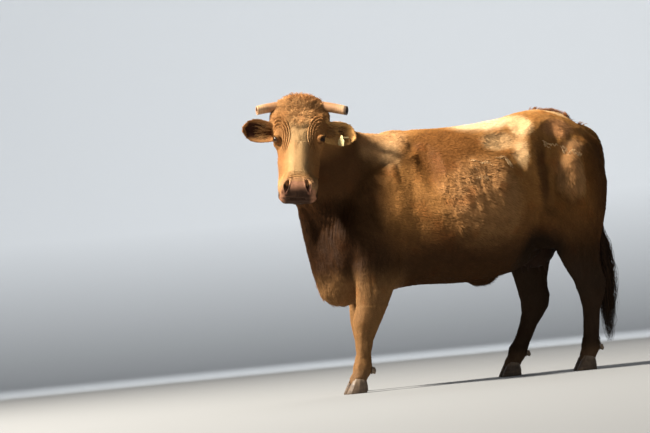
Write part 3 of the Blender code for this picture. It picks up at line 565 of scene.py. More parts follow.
# Rises and hollows on the body (left side given): place, reach, how far the skin moves.
RELIEF = [
    ((0.120, -0.352, 1.330), (0.10, 0.030, 0.075), 0.007),  # top edge of the shoulder blade
    ((0.215, -0.430, 1.150), (0.10, 0.032, 0.180), 0.006),  # its spine
    ((0.190, -0.285, 1.240), (0.12, 0.045, 0.130), -0.009),  # hollow behind it
    ((0.235, -0.560, 0.980), (0.10, 0.030, 0.160), -0.005),  # groove before the upper arm
    ((0.262, 0.330, 1.265), (0.08, 0.040, 0.110), 0.007),  # front edge of the hook
    ((0.215, 0.165, 1.290), (0.08, 0.090, 0.045), -0.006),  # flank hollow under the loin
    ((0.285, 0.385, 1.120), (0.10, 0.034, 0.150), -0.008),  # groove before the thigh
    ((0.240, 0.452, 1.220), (0.08, 0.034, 0.080), -0.006),  # behind the hook
    ((0.262, 0.545, 1.040), (0.09, 0.075, 0.130), 0.008),  # thigh
    ((0.262, 0.640, 0.930), (0.09, 0.024, 0.190), -0.006),  # groove between the thigh's muscles
    ((0.240, 0.330, 0.850), (0.10, 0.050, 0.140), -0.006),  # under the flank fold
    ((0.120, 0.700, 1.230), (0.06, 0.040, 0.060), -0.006),  # beside the tail head
    ((0.330, 0.140, 0.960), (0.12, 0.150, 0.270), 0.011),  # fullest part of the barrel
    ((0.310, 0.000, 1.130), (0.12, 0.200, 0.050), 0.004),  # upper edge of the old winter coat
    ((0.205, -0.610, 0.560), (0.06, 0.018, 0.120), -0.005),  # between the forearm's muscles
]


def body_relief(points):
    """Bones, grooves and a slight unevenness all over, so that no stretch is quite smooth."""
    mirror = both_sides(points)
    rise = pushed(mirror + 0.007 * noise(points, 0.12, 21)[:, None], RELIEF)
    rise = rise + 0.0014 * layered(points, 0.11, 22) * ease(0.35, 0.60, points[:, 2])
    ribs = waves(points[:, 1] + 0.25 * points[:, 2], 0.066)
    barrel = near(mirror, (0.340, -0.060, 0.960), (0.16, 0.22, 0.30))
    return (rise + 0.0012 * ribs * barrel) * (1 - on_head(points))


# Grooves beside the tendons: side of the body, lowest and highest point, middle of the leg there,
# how far behind it the groove lies, its lean, and how far from the middle the leg reaches.
TENDONS = (
    (1, 0.165, 0.30, -0.640, 0.004, 0, 0.11),
    (1, 0.175, 0.36, 0.585, 0.004, 0, 0.11),
    (-1, 0.165, 0.30, -0.545, 0, 0, 0.13),
    (-1, 0.175, 0.33, 0.375, 0, 0.25, 0.13),
)


def leg_relief(points):
    """Tendons behind the cannon bones."""
    x, y, z = points.T
    rise = np.zeros(len(points))
    for side, low, high, place, back, lean, reach in TENDONS:
        band = ease(low, low + 0.04, z) * ease(high, high - 0.04, z)
        own = (x * side > 0) & (np.abs(y - place) < reach)
        rise -= 0.0035 * own * band * bell(y, place + back + lean * (z - 0.25), 0.008)
    return rise


def work_skin(skin):
    """All the form that the solids leave out."""
    mesh = skin.data
    points = points_of(mesh)
    rise = body_relief(points) + neck_folds(points) + leg_relief(points)
    points = points + normals_of(mesh) * rise[:, None]
    head = on_head(points)
    face = to_head(points)
    rise = face_relief(face) + lip_lines(face) + muzzle_wrinkles(face)
    rise += sum(brow_folds(face, side) for _, side in SIDES)
    rise *= head * (on_ears(points) == 0)
    face = face + normals_of(mesh) @ HEAD_TURN * rise[:, None]
    face[:, 2] -= nose_sides(face) * head
    for _, side in SIDES:
        face += nostril_push(face, side) * head[:, None]
        face = shape_eye(face, side)
    write(mesh, from_head(face))
    mesh.shade_smooth()


def unwrap(obj):
    """The skin's own unwrap, which its coat's bake map follows."""
    bpy.ops.object.select_all(action="DESELECT")
    bpy.context.view_layer.objects.active = obj
    obj.select_set(True)
    bpy.ops.object.mode_set(mode="EDIT")
    bpy.ops.mesh.select_all(action="SELECT")
    bpy.ops.uv.smart_project(angle_limit=1.15, island_margin=0.001)
    bpy.ops.object.mode_set(mode="OBJECT")
    obj.data.uv_layers[0].name = "OFBake"


# ---- markings ----
# Zones of the coat (left side given, the right is the same): colour, strength, place, reach.
MARKINGS = [
    (TAN, 0.90, (0.100, -0.460, 1.330), (0.22, 0.24, 0.24)),  # withers, shoulder blade
    # Painted highlight along the spine of the shoulder blade.
    (CREAM, 0.40, (0.180, -0.430, 1.250), (0.10, 0.09, 0.17)),
    (RUST, 0.95, (0.220, -0.140, 1.240), (0.28, 0.30, 0.27)),  # ribs
    # Paler hair over the loin and hook, partly painted highlight where the back faces the light.
    (PALE, 0.95, (0.100, 0.130, 1.380), (0.20, 0.25, 0.11)),  # loin
    (CREAM, 0.65, (0.240, 0.160, 1.255), (0.12, 0.15, 0.08)),
    (CREAM, 1.00, (0.190, 0.305, 1.330), (0.16, 0.085, 0.12)),  # hook
    # Painted highlight down the front edge of the hook.
    (CREAM, 0.85, (0.285, 0.270, 1.190), (0.08, 0.060, 0.14)),
    # Painted shade in the groove behind the hook.
    (SHADE_BROWN, 0.80, (0.290, 0.405, 1.080), (0.13, 0.080, 0.32)),  # behind the hook
    (CROUP, 0.95, (0.190, 0.530, 1.310), (0.12, 0.150, 0.09)),
    # Paler hair along the spine, partly painted highlight.
    (CREAM, 0.80, (0.050, 0.560, 1.400), (0.07, 0.240, 0.05)),
    (RUMP, 0.80, (0.240, 0.600, 1.200), (0.08, 0.120, 0.07)),
    (COAT_OLD, 0.95, (0.320, 0.020, 0.945), (0.18, 0.310, 0.32)),  # shaggy rib patch
    (THIGH_OLD, 0.90, (0.262, 0.545, 1.050), (0.12, 0.120, 0.19)),  # shaggy thigh patch
    (RUST, 0.60, (0.240, 0.680, 1.100), (0.12, 0.070, 0.24)),
]
SHAGGY = [((0.320, 0.010, 0.945), (0.18, 0.300, 0.310)), ((0.262, 0.540, 1.040), (0.12, 0.120, 0.210))]


def even(values, points):
    """The same values for each of the points."""
    return np.tile(np.array(values), (len(points), 1))


def blend(colour, other, share):
    """Colours (or other values) mixed towards the other ones, point by point."""
    share = np.clip(share, 0, 1)[:, None]
    return colour * (1 - share) + np.array(other) * share


def overlaid(colour, layers):
    """The colour with each layer, a tint and its share, blended over it in turn."""
    for tint, share in layers:
        colour = blend(colour, tint, share)
    return colour


def drifting(points, size, seed):
    """Three noises at a time, which bend the edges of the zones."""
    return np.stack([layered(points, size, seed + i) for i in range(3)], axis=1)


def painted_low_shade(points):
    """Painted shade on the lower body: 0 on the upper side, 1 where it is darkest, under the barrel and in
    the groin; less on the fullest part of the barrel.
    """
    low = ease(1.02, 0.62, points[:, 2] + 0.05 * layered(points, 0.12, 31))
    return low * (1 - 0.75 * near(points, (0.32, 0.02, 0.95), (0.2, 0.26, 0.28)))


def body_colour(points):
    mirror = both_sides(points)
    bent = mirror + 0.022 * (drifting(points, 0.09, 40) + 0.35 * drifting(points * (1, 1, 0.4), 0.014, 45))
    x, y, z = points.T
    # Where the head's shadow is painted onto the neck.
    neck = ease(-0.42, -0.58, y) * ease(1.42, 1.28, z) * ease(0.45, 0.75, z)
    colour = overlaid(even(GOLD, points) * 0.80, (
        (RUST, 0.50 * ease(0.15, -0.35, layered(points, 0.30, 33))),
        # Painted shade, darkening the lower body towards the belly.
        (SHADE_BROWN, 0.88 * painted_low_shade(points)),
        (NECK_SHADOW, 0.80 * neck),
    ))
    for tint, strength, place, reach in MARKINGS:
        colour = blend(colour, tint, strength * ease(0.0, 0.62, near(bent, place, reach)))
    # Painted shade in the groin and along the low belly, in near black.
    groin = near(mirror, (0.10, 0.36, 0.70), (0.26, 0.26, 0.22))
    belly_shade = ease(0.86, 0.60, z + 0.03 * layered(points, 0.09, 35)) * (np.abs(y) < 0.7)
    # Painted shade on the back of the hindquarters.
    rear_shade = ease(0.62, 0.76, y) * ease(0.35, 0.60, z) * ease(1.32, 1.18, z)
    # Where the head's shadow is painted onto the chest and brisket.
    chest = ease(-0.58, -0.70, y + 0.06 * ease(0.75, 0.60, z)) * ease(1.18, 0.94, z) * ease(0.38, 0.48, z)
    brisket = ease(-0.48, -0.60, y) * ease(0.155, 0.105, np.abs(x))
    brisket = brisket * ease(0.40, 0.46, z) * ease(0.85, 0.72, z)
    return overlaid(colour, (
        (SHADE_BLACK, 0.92 * ease(0.05, 0.5, groin)),
        (SHADE_BLACK, 0.55 * belly_shade),
        (SHADE_BROWN, 0.90 * rear_shade),
        (CHEST_SHADOW, 0.93 * np.maximum(chest, 0.95 * brisket)),
        (FORELEG, 0.85 * ease(-0.35, -0.45, y) * ease(0.68, 0.50, z)),
        (HINDLEG, 0.92 * ease(0.15, 0.25, y) * ease(0.72, 0.50, z)),
        (PASTERN, 0.6 * ease(0.16, 0.08, z)),
    ))


def face_colour(points):
    face = to_head(points)
    x, y, z = face.T
    wide = np.abs(x)
    poll = ease(-0.17, -0.06, y + 0.03 * noise(face, 0.05, 55)) * ease(-0.10, -0.03, z)
    side = ease(0.038, 0.085, wide + 0.012 * layered(points, 0.03, 54)) * ease(-0.47, -0.40, y)
    band = ease(0.060, 0.030, wide) * ease(-0.50, -0.44, y) * ease(-0.10, -0.20, y) * ease(-0.09, -0.05, z)
    colour = overlaid(even(FACE, points), (
        (RUST, 0.22 * ease(-0.1, 0.6, layered(points, 0.05, 50)) * ease(-0.20, -0.05, y)),
        # Painted shade in the crevices between the curls of the poll.
        (SHADE_BROWN, 0.60 * poll * ease(0.15, 0.50, layered(face, 0.014, 56))),
        (CURL, 0.60 * poll * ease(-0.05, -0.45, layered(face, 0.020, 57))),
        (FACE_SIDE, 0.70 * side * ease(0.02, -0.10, y)),
        (PALE_FACE, 0.80 * band),
        # Painted shade on the underside of the head, from the eyes to the muzzle.
        (SHADE_BROWN, 0.85 * ease(-0.10, -0.18, z) * ease(0.05, -0.10, y)),
    ))
    for _, side in SIDES:
        rim = round_lids(face, side)
        colour = blend(colour, LIDS, 0.55 * ease(2.3, 1.4, rim))
        colour = blend(colour, LID_RIM, 0.95 * ease(1.42, 1.14, rim))
    tears = to_path(both_sides(face), [(0.108, -0.235, -0.052), (0.092, -0.440, -0.075)])
    muzzle = ease(-0.478, -0.505, y)
    return nose_colour(face, overlaid(colour, (
        (TEARS, 0.65 * ease(0.017, 0.004, tears + 0.006 * noise(face, 0.03, 58))),
        (MUZZLE, 0.85 * muzzle),
        # The chin and lower lip are darker, partly painted shade.
        (CHIN_DARK_AND_SHADE, 0.92 * muzzle * ease(-0.090, -0.115, z)),
    )))


def on_pad(face):
    """1 on the bare skin of the nose and lips."""
    x, y, z = face.T
    edge = -0.513 - 0.036 * ease(0.020, 0.075, np.abs(x)) + 0.006 * noise(face, 0.02, 52)
    return ease(edge + 0.004, edge - 0.006, y) * ease(-0.150, -0.135, z)


def nose_colour(face, colour):
    # The pad is darker below the nostrils, partly painted shade.
    lower_pad_shade = ease(0.085, 0.055, np.abs(face[:, 0])) * ease(-0.040, -0.066, face[:, 2])
    pink = blend(even(PINK, face), PINK_DARK, ease(-0.2, 0.7, layered(face, 0.012, 53)))
    colour = blend(colour, blend(pink, PAD_DARK_AND_SHADE, 0.93 * lower_pad_shade), on_pad(face))
    # The nostrils' holes are painted near black, as painted shade inside them.
    for _, side in SIDES:
        far = np.linalg.norm((face - mirrored(NOSTRIL_PLACE, side)) / (0.9, 1, 1.4), axis=1)
        colour = blend(colour, NOSTRIL_SHADE, 0.95 * ease(0.023, 0.014, far))
    mirror = both_sides(face)
    wing = near(mirror, (0.060, -0.552, -0.076), (0.018, 0.034, 0.020))
    colour = blend(colour, WING, 0.55 * ease(0, 0.7, wing))
    return blend(colour, LIPS, 0.8 * ease(0.006, 0.002, to_path(mirror, MOUTH)))


def ear_colour(points, colour):
    """Golden ears, the left painted lighter as painted light and the right darker as painted shade, painted
    shade in the hollows, and a darker rim.
    """
    share = on_ears(points)
    hollow, rim = ear_hollow(points)
    tone = blend(even(EAR_LIT_AND_SHADED["right"], points), EAR_LIT_AND_SHADED["left"], (to_head(points)[:, 0] > 0) * 1.0)
    tone = overlaid(tone, ((EAR_CUP_SHADE, hollow), (EAR_RIM, 0.6 * rim * ease(0.3, 0.8, share))))
    return np.where(share[:, None] > 0, tone, colour)


def ear_hollow(points):
    """How far inside an ear's cup each point is, and how near its rim."""
    face = to_head(points)
    hollow, rim = np.zeros(len(points)), np.zeros(len(points))
    for side, sign in SIDES:
        base, along, facing = ear_axes(side)
        away = face - base
        far, up = away @ along, away @ facing
        wide = np.abs(away @ np.cross(facing, along))
        own = face[:, 0] * sign > 0
        floor = ear_leaf(far, wide) + 0.004
        inside = ease(0.052, 0.030, wide) * ease(floor + 0.002, floor + 0.0005, up)
        # On the left ear the painted shade lies mostly in a band across the middle of the cup.
        if side == "left":
            inside = inside * (0.10 + 0.80 * bell(far / EAR_LENGTH, 0.58, 0.14))
        hollow = np.where(own, inside, hollow)
        rim = np.where(own, ease(0.048, 0.060, wide), rim)
    return hollow, rim


def hide_colour(points):
    """The one colouring that skin and coat share."""
    head = on_head(points)[:, None]
    colour = ear_colour(points, body_colour(points) * (1 - head) + face_colour(points) * head)
    # The udder is painted dark brown, as painted shade under the belly.
    udder = near(points, (0.0, 0.395, 0.630), (0.12, 0.16, 0.14))
    return blend(colour, UDDER_SHADE, ease(0.02, 0.2, udder))


# ---- materials ----
class Nodes:
    """Short calls for a material's nodes."""

    def __init__(self, name, **settings):
        self.material = bpy.data.materials.new(name)
        self.material.use_nodes = True
        self.tree = self.material.node_tree
        self.shader = self.tree.nodes["Principled BSDF"]
        for socket, value in settings.items():
            self.shader.inputs[socket.replace("_", " ")].default_value = value

    def add(self, kind, **inputs):
        node = self.tree.nodes.new("ShaderNode" + kind)
        for socket, value in inputs.items():
            self.set(node.inputs[socket.replace("_", " ")], value)
        return node

    def set(self, socket, value):
        """Links or sets a socket."""
        if isinstance(value, bpy.types.NodeSocket):
            self.tree.links.new(value, socket)
        else:
            socket.default_value = value

    def shade(self, socket, value):
        self.tree.links.new(value, self.shader.inputs[socket])

    def noise(self, scale, detail, stretch=(1, 1, 1)):
        place = self.add("TexCoord").outputs["Object"]
        mapping = self.add("Mapping", Vector=place, Scale=stretch)
        return self.add("TexNoise", Vector=mapping.outputs[0], Scale=scale, Detail=detail).outputs["Fac"]

    def ranged(self, value, low, high, to_low, to_high):
        node = self.add("MapRange", Value=value)
        for socket, number in zip(("From Min", "From Max", "To Min", "To Max"), (low, high, to_low, to_high)):
            node.inputs[socket].default_value = number
        return node.outputs[0]

    def scaled(self, colour, factor):
        """The colour times a grey factor."""
        node = self.add("Mix")
        node.data_type = "RGBA"
        node.blend_type = "MULTIPLY"
        for socket, value in ((0, 1.0), (6, colour), (7, factor)):
            self.set(node.inputs[socket], value)
        return node.outputs[2]

    def varied(self, scale, detail, to_low, to_high, stretch=(1, 1, 1)):
        """Noise between two values."""
        return self.ranged(self.noise(scale, detail, stretch), 0.3, 0.7, to_low, to_high)


def surface(name, tone, rough=None, bumps=None, stretch=(1, 1, 1), **settings):
    """A finish over the painted colours. tone and rough are noises: scale, detail, lowest, highest value;
    bumps is scale, detail, depth and strength; settings go on the shader's own sockets."""
    made = Nodes(name, **settings)
    painted = made.add("VertexColor")
    painted.layer_name = "Hue"
    made.shade("Base Color", made.scaled(painted.outputs["Color"], made.varied(*tone, stretch)))
    if rough:
        made.shade("Roughness", made.varied(*rough))
    if bumps:
        scale, detail, depth, strength = bumps
        node = made.add("Bump", Height=made.noise(scale, detail), Strength=strength, Distance=depth)
        made.shade("Normal", node.outputs[0])
    return made.material


HIDE = surface("skin_hair", (420, 3, 0.72, 1.12), (60, 3, 0.52, 0.70), (700, 3, 0.0012, 0.6),
               Roughness=0.70, Specular_IOR_Level=0.05)
HAIR = surface("coat_hair", (900, 2, 0.86, 1.12), (140, 2, 0.48, 0.66),
               Roughness=0.62, Specular_IOR_Level=0.05)
HORN = surface("horn_keratin", (60, 5, 0.82, 1.10), (120, 3, 0.34, 0.56), (260, 4, 0.0006, 0.5),
               Roughness=0.42, Specular_IOR_Level=0.45, Coat_Weight=0.08, Coat_Roughness=0.3)
CLAW = surface("claw_keratin", (90, 5, 0.72, 1.22), (50, 4, 0.42, 0.68), (220, 4, 0.0006, 0.5),
               (1, 1, 0.25), Roughness=0.50, Specular_IOR_Level=0.40)
WET = surface("eye_wet", (500, 3, 0.80, 1.20),
              Roughness=0.30, Specular_IOR_Level=0.10, Coat_Weight=0.12, Coat_Roughness=0.03)
TAG = surface("tag_moulded", (70, 4, 0.86, 1.05), (160, 3, 0.34, 0.58), (400, 2, 0.0002, 0.4),
              Roughness=0.42, Specular_IOR_Level=0.45, Subsurface_Weight=0.05, Subsurface_Scale=0.002)


# ---- stage, light and camera ----
CAMERA_AZIMUTH, CAMERA_DISTANCE, CAMERA_HEIGHT = 70.0, 13.0, 0.29
CAMERA_SWING, CAMERA_PITCH, CAMERA_ROLL = -3.195, 2.919, 5.5
CAMERA_LENS, CAMERA_SENSOR = 134.03, 36.0


def camera():
    turn = math.radians(CAMERA_AZIMUTH)
    back = Vector((math.sin(turn), -math.cos(turn), 0))
    ahead = Matrix.Rotation(math.radians(-CAMERA_SWING), 3, "Z") @ -back
    right = ahead.cross((0, 0, 1))
    pitch = math.radians(CAMERA_PITCH)
    view = ahead * math.cos(pitch) + Vector((0, 0, math.sin(pitch)))
    up = right.cross(view)
    roll = math.radians(CAMERA_ROLL)
    right, up = right * math.cos(roll) - up * math.sin(roll), up * math.cos(roll) + right * math.sin(roll)
    made = placed("camera", bpy.data.cameras.new("camera"))
    place = Matrix((right, up, -view)).transposed().to_4x4()
    place.translation = HERE + back * CAMERA_DISTANCE + Vector((0, 0, CAMERA_HEIGHT))
    made.matrix_world = place
    made.data.lens = CAMERA_LENS
    made.data.sensor_width = CAMERA_SENSOR
    made.data.clip_end = 200
    bpy.context.scene.camera = made


def lamp(name, azimuth, elevation, far, size, power, colour, aim=(0, 0, 0.9)):
    """An area light; azimuth 0 is in front of the cow's chest and 90 on its left."""
    a, e = math.radians(azimuth), math.radians(elevation)
    back = Vector((math.sin(a) * math.cos(e), -math.cos(a) * math.cos(e), math.sin(e)))
    data = bpy.data.lights.new(name, "AREA")
    data.shape = "DISK"
    data.size = size
    data.energy = power
    data.color = colour
    made = placed(name, data)
    made.location = HERE + Vector(aim) + back * far
    made.rotation_mode = "QUATERNION"
    made.rotation_quaternion = back.to_track_quat("Z", "Y")


def stage():
    """A pale floor that curves up into a wide bowl, so that it has no edge from any side."""
    floor_radius, wall_radius, steps = 26.0, 9.0, 24
    profile = [(0.0, 0.0), (floor_radius * 0.25, 0.0), (floor_radius * 0.6, 0.0), (floor_radius, 0.0)]
    for i in range(1, steps + 1):
        angle = 0.5 * math.pi * i / steps
        profile.append((floor_radius + wall_radius * math.sin(angle), wall_radius * (1 - math.cos(angle))))
    shape = bmesh.new()
    verts = [shape.verts.new((r, 0, z)) for r, z in profile]
    edges = [shape.edges.new(pair) for pair in zip(verts, verts[1:])]
    bmesh.ops.spin(shape, geom=verts + edges, axis=(0, 0, 1), cent=(0, 0, 0), angle=2 * math.pi, steps=96)
    bmesh.ops.remove_doubles(shape, verts=shape.verts, dist=1e-4)
    bmesh.ops.recalc_face_normals(shape, faces=shape.faces)
    floor = from_bmesh("floor", shape)
    floor.data.shade_smooth()
    made = Nodes("floor_matt", Roughness=0.9, Specular_IOR_Level=0.1)
    height = made.add("SeparateXYZ", Vector=made.add("TexCoord").outputs["Object"]).outputs["Z"]
    tint = made.add("RGB").outputs[0]
    tint.default_value = (0.96, 0.98, 1.0, 1)
    made.shade("Base Color", made.scaled(tint, made.ranged(height, 0.0, 2.6, 0.30, 0.80)))
    floor.data.materials.append(made.material)


def wall_washer(azimuth):
    """A lamp behind the cow that faces away from it and lights the bowl."""
    a = math.radians(azimuth)
    away = Vector((math.sin(a), -math.cos(a), 0))
    lamp("washer", azimuth + 180, 12, 1.0, 9.0, 1150, (0.90, 0.95, 1.0), away * 14 + Vector((0, 0, 7.5)))


def lights():
    """Soft daylight from the front left, with a lit wall behind the cow."""
    # Azimuth, elevation, distance, size, power, colour and the point that each lamp is aimed at.
    lamp("key", 1, 42, 14.0, 2.2, 6300, (1.0, 0.93, 0.82), (0.1, -0.2, 1.0))
    lamp("fill", 95, 30, 13.0, 8.0, 70, (0.90, 0.95, 1.0))
    lamp("back", 245, 38, 13.0, 7.0, 420, (1.0, 0.97, 0.93))
    for azimuth in (228, 250, 272):
        wall_washer(azimuth)
    world = bpy.data.worlds.new("world")
    world.use_nodes = True
    world.node_tree.nodes["Background"].inputs[0].default_value = (0.80, 0.88, 1.0, 1)
    world.node_tree.nodes["Background"].inputs[1].default_value = 0.13
    bpy.context.scene.world = world
    bpy.context.scene.view_settings.view_transform = "Standard"


# ---- coat ----
def scatter(mesh, density):
    """Roots spread over a mesh: their places, normals and places in its unwrap."""
    mesh.calc_loop_triangles()
    corners = read(mesh.loop_triangles, "vertices").astype(np.int64)
    loops = read(mesh.loop_triangles, "loops").astype(np.int64)
    points, normals = points_of(mesh), normals_of(mesh)
    unwrapped = read(mesh.uv_layers["OFBake"].data, "uv", 2)
    places = points[corners]
    area = np.linalg.norm(np.cross(places[:, 1] - places[:, 0], places[:, 2] - places[:, 0]), axis=1) / 2
    which = np.repeat(np.arange(len(area)), random.poisson(area * density(places.mean(axis=1))))
    a, b = random.random((2, len(which)))
    a, b = np.where(a + b > 1, 1 - a, a), np.where(a + b > 1, 1 - b, b)
    share = np.stack([1 - a - b, a, b], axis=1)[:, :, None]
    root = (places[which] * share).sum(axis=1)
    normal = unit((normals[corners[which]] * share).sum(axis=1))
    return root, normal, (unwrapped[loops[which]] * share).sum(axis=1)


def lie_of_face(points):
    """From the whorl outwards: up to the poll, down to the nose, back and down over the cheeks."""
    face = to_head(points)
    away = (face - np.array(WHORL)) * (1.0, 1.0, 0.4)
    loose = bell(np.linalg.norm(away, axis=1), 0, 0.035)
    curl = np.stack([noise(face, 0.020, 97), noise(face, 0.020, 98), np.zeros(len(face))], axis=1)
    way = unit(unit(away + 1e-6) + 2.5 * loose[:, None] * curl)
    cheek = ease(-0.06, -0.14, face[:, 2]) * ease(-0.46, -0.38, face[:, 1])
    way = blend(way, (0.0, 0.55, -0.60), cheek)
    for side, sign in SIDES:
        own = (on_ears(points) > 0) & (face[:, 0] * sign > 0)
        way = np.where(own[:, None], unit(EAR_DIRECTION[side]), way)
    return way @ HEAD_TURN.T


def lie_of_hair(points):
    """Which way the hair lies: back and down on the body, down on neck, legs and tail."""
    _, y, z = points.T
    way = even((0.0, 0.92, -0.38), points)
    way[:, 2] -= 0.55 * near(points, (0.30, 0.0, 1.05), (0.4, 0.5, 0.3))
    return overlaid(way, (
        ((0.10, 0.35, -0.93), ease(-0.40, -0.62, y) * ease(0.70, 0.85, z)),
        ((0.0, 0.30, -0.95), ease(0.30, 0.55, y) * ease(1.30, 1.15, z)),
        ((0.0, 0.12, -0.99), ease(0.80, 0.62, z) * (np.abs(y + 0.09) > 0.30)),
        ((0.0, 0.05, -1.0), ease(0.72, 0.76, y)),
        (lie_of_face(points), on_head(points)),
    ))


def hair_of(points):
    """Length, width, tufts to the square metre, lift and mess of the hair at each point."""
    face = to_head(points)
    bent = both_sides(points) + 0.03 * drifting(points, 0.05, 60)
    shaggy = np.max([ease(0.0, 0.35, near(bent, *zone)) for zone in SHAGGY], axis=0)
    head = on_head(points)
    poll = ease(-0.20, -0.05, face[:, 1] + 0.07 * noise(face, 0.024, 66)) * ease(-0.09, -0.02, face[:, 2])
    eyes = sum(near(face, mirrored(EYE_PLACE, side), (0.05, 0.06, 0.05)) for _, side in SIDES)
    udder = near(points, (0.0, 0.395, 0.630), (0.14, 0.18, 0.16))
    return overlaid(even((0.0165, 0.0030, 40000, 0.20, 0.16), points), (
        ((0.026, 0.0034, 52000, 0.40, 0.42), shaggy),
        ((0.0100, 0.0022, 62000, 0.20, 0.16), ease(0.62, 0.40, points[:, 2])),
        ((0.0085, 0.0017, 120000, 0.20, 0.20), head),
        ((0.0140, 0.0026, 75000, 0.38, 0.80), head * poll),
        ((0.0045, 0.0011, 170000, 0.20, 0.25), head * ease(-0.44, -0.49, face[:, 1])),  # muzzle
        ((0.0050, 0.0012, 170000, 0.16, 0.15), ease(0.0, 0.4, eyes)),
        ((0.0090, 0.0018, 110000, 0.20, 0.20), (on_ears(points) > 0) * 1.0),
        ((0.0060, 0.0014, 30000, 0.25, 0.30), ease(0.0, 0.15, udder)),
    ))


def bare(points):
    """True where no hair grows: lids' opening, nostrils, nose pad, lips, horns, teats and claws."""
    face = to_head(points)
    on_face = on_head(points) > 0.5
    none = on_face & (on_pad(face) > 0.35)
    for _, side in SIDES:
        none |= round_lids(face, side) < 1.12
        none |= on_face & (np.linalg.norm(face - mirrored(NOSTRIL_PLACE, side), axis=1) < 0.026)
        base = mirrored(HORN_BASE, side)
        none |= to_path(face, [base, base + unit(mirrored(HORN_DIRECTION, side)) * 0.15]) < 0.0285
    teats = near(points, (0.0, 0.39, 0.545), (0.10, 0.13, 0.035)) > 0
    return none | teats | (points[:, 2] < HOOF_TOP)


def hair_density(points):
    quick = 1.0
    return np.where(bare(points), 0, hair_of(points)[:, 2] * quick)


def turned(way, normal, angle):
    """The direction laid on the surface and turned by an angle about the normal."""
    way = unit(way - normal * (way * normal).sum(axis=1, keepdims=True) + 1e-9)
    return way * np.cos(angle)[:, None] + np.cross(normal, way) * np.sin(angle)[:, None]


AREAS = ("head_left", "neck", "shoulder_left", "shoulder_right", "barrel_left", "barrel_right",
         "rump_left", "rump_right", "forelegs", "hindlegs", "head_right")


def area_of(points):
    """Which of the AREAS each point belongs to. The last zone that a point lies in has it."""
    x, y, z = points.T
    head = (on_head(points) > 0.4) | (on_ears(points) > 0)
    left = to_head(points)[:, 0] > 0
    which = np.where(x < 0, AREAS.index("rump_right"), AREAS.index("rump_left"))
    for area, zone in (
        ("barrel_left", (y < 0.24) & (x >= 0)),
        ("barrel_right", (y < 0.24) & (x < 0)),
        ("shoulder_left", (y < -0.22) & (x >= 0)),
        ("shoulder_right", (y < -0.22) & (x < 0)),
        ("hindlegs", (z < 0.78) & (y > 0.20)),
        ("forelegs", (z < 0.72) & (y < -0.30)),
        ("neck", (y < -0.56) & (z > 0.72)),
        ("head_left", head & left),
        ("head_right", head & ~left),
    ):
        which = np.where(zone, AREAS.index(area), which)
    return which


def tuft_shades(root, colour):
    """Each tuft's own tone: clumps redder or paler, and a little chance."""
    clump = layered(root, 0.035, 70)
    streak = noise(root * (1, 1, 0.28), 0.012, 74) * (1 - on_head(root))
    tone = 1 + 0.12 * clump + 0.17 * streak + 0.10 * random.standard_normal(len(root))
    colour = blend(colour, colour * (1.10, 0.84, 0.66), 0.45 * ease(0.1, 0.8, noise(root, 0.06, 72)))
    return colour * np.clip(tone, 0.55, 1.5)[:, None]


def tuft_mesh(name, root, along, side, out, hair, colour, place):
    """Flattened three-sided spikes: two root corners, a ridge and a tip."""
    length, width, _, lift, _ = hair.T
    length = length * random.uniform(0.65, 1.25, len(root))
    width = width * random.uniform(0.75, 1.30, len(root))
    half = side * (width / 2)[:, None]
    rise = RIDGE_AT * length * lift * 1.5 + width * 0.22
    ridge = root + along * (RIDGE_AT * length)[:, None] + out * rise[:, None]
    tip = root + along * length[:, None] + out * (length * lift)[:, None]
    base = root - out * 0.0006
    points = np.stack([base - half, base + half, ridge, tip], axis=1).reshape(-1, 3)
    start = (np.arange(len(root)) * 4)[:, None]
    faces = np.concatenate([start + (1, 0, 2), start + (0, 3, 2), start + (3, 1, 2)])
    made = mesh_from(name, points, [faces])
    shade = np.array((0.62, 0.62, 1.0, 1.18))[None, :, None] * colour[:, None, :]
    paint(made.data, shade.reshape(-1, 3))
    patch = np.array(((-1, -1), (1, -1), (0, 0), (0, 1))) * PATCH
    bake_map(made, (place[:, None, :] + patch).reshape(-1, 2), faces)
    return made


def bake_map(made, places, faces):
    """The piece's own map for baking: for each corner of a face, the place of its point."""
    layer = made.data.uv_layers.new(name="OFBake")
    layer.data.foreach_set("uv", places[np.asarray(faces).ravel()].astype(np.float32).ravel())


def grow_coat(skin):
    """The short coat, in pieces by area of the body."""
    root, out, place = scatter(skin.data, hair_density)
    hair = hair_of(root)
    swirl = noise(root, 0.07, 64) + 0.35 * noise(root, 0.022, 65)
    hair[:, 3] *= 1 + 0.35 * noise(root * (1, 1, 0.3), 0.013, 67)
    angle = hair[:, 4] * (1.1 * swirl + 0.35 * random.standard_normal(len(root)))
    along = turned(lie_of_hair(root), out, angle)
    colour = tuft_shades(root, hide_colour(root))
    area = area_of(root)
    parts = (root, along, np.cross(out, along), out, hair, colour, place)
    for i, name in enumerate(AREAS):
        own = area == i
        if own.any():
            finished(tuft_mesh("coat_" + name, *(part[own] for part in parts)), "coat", HAIR)


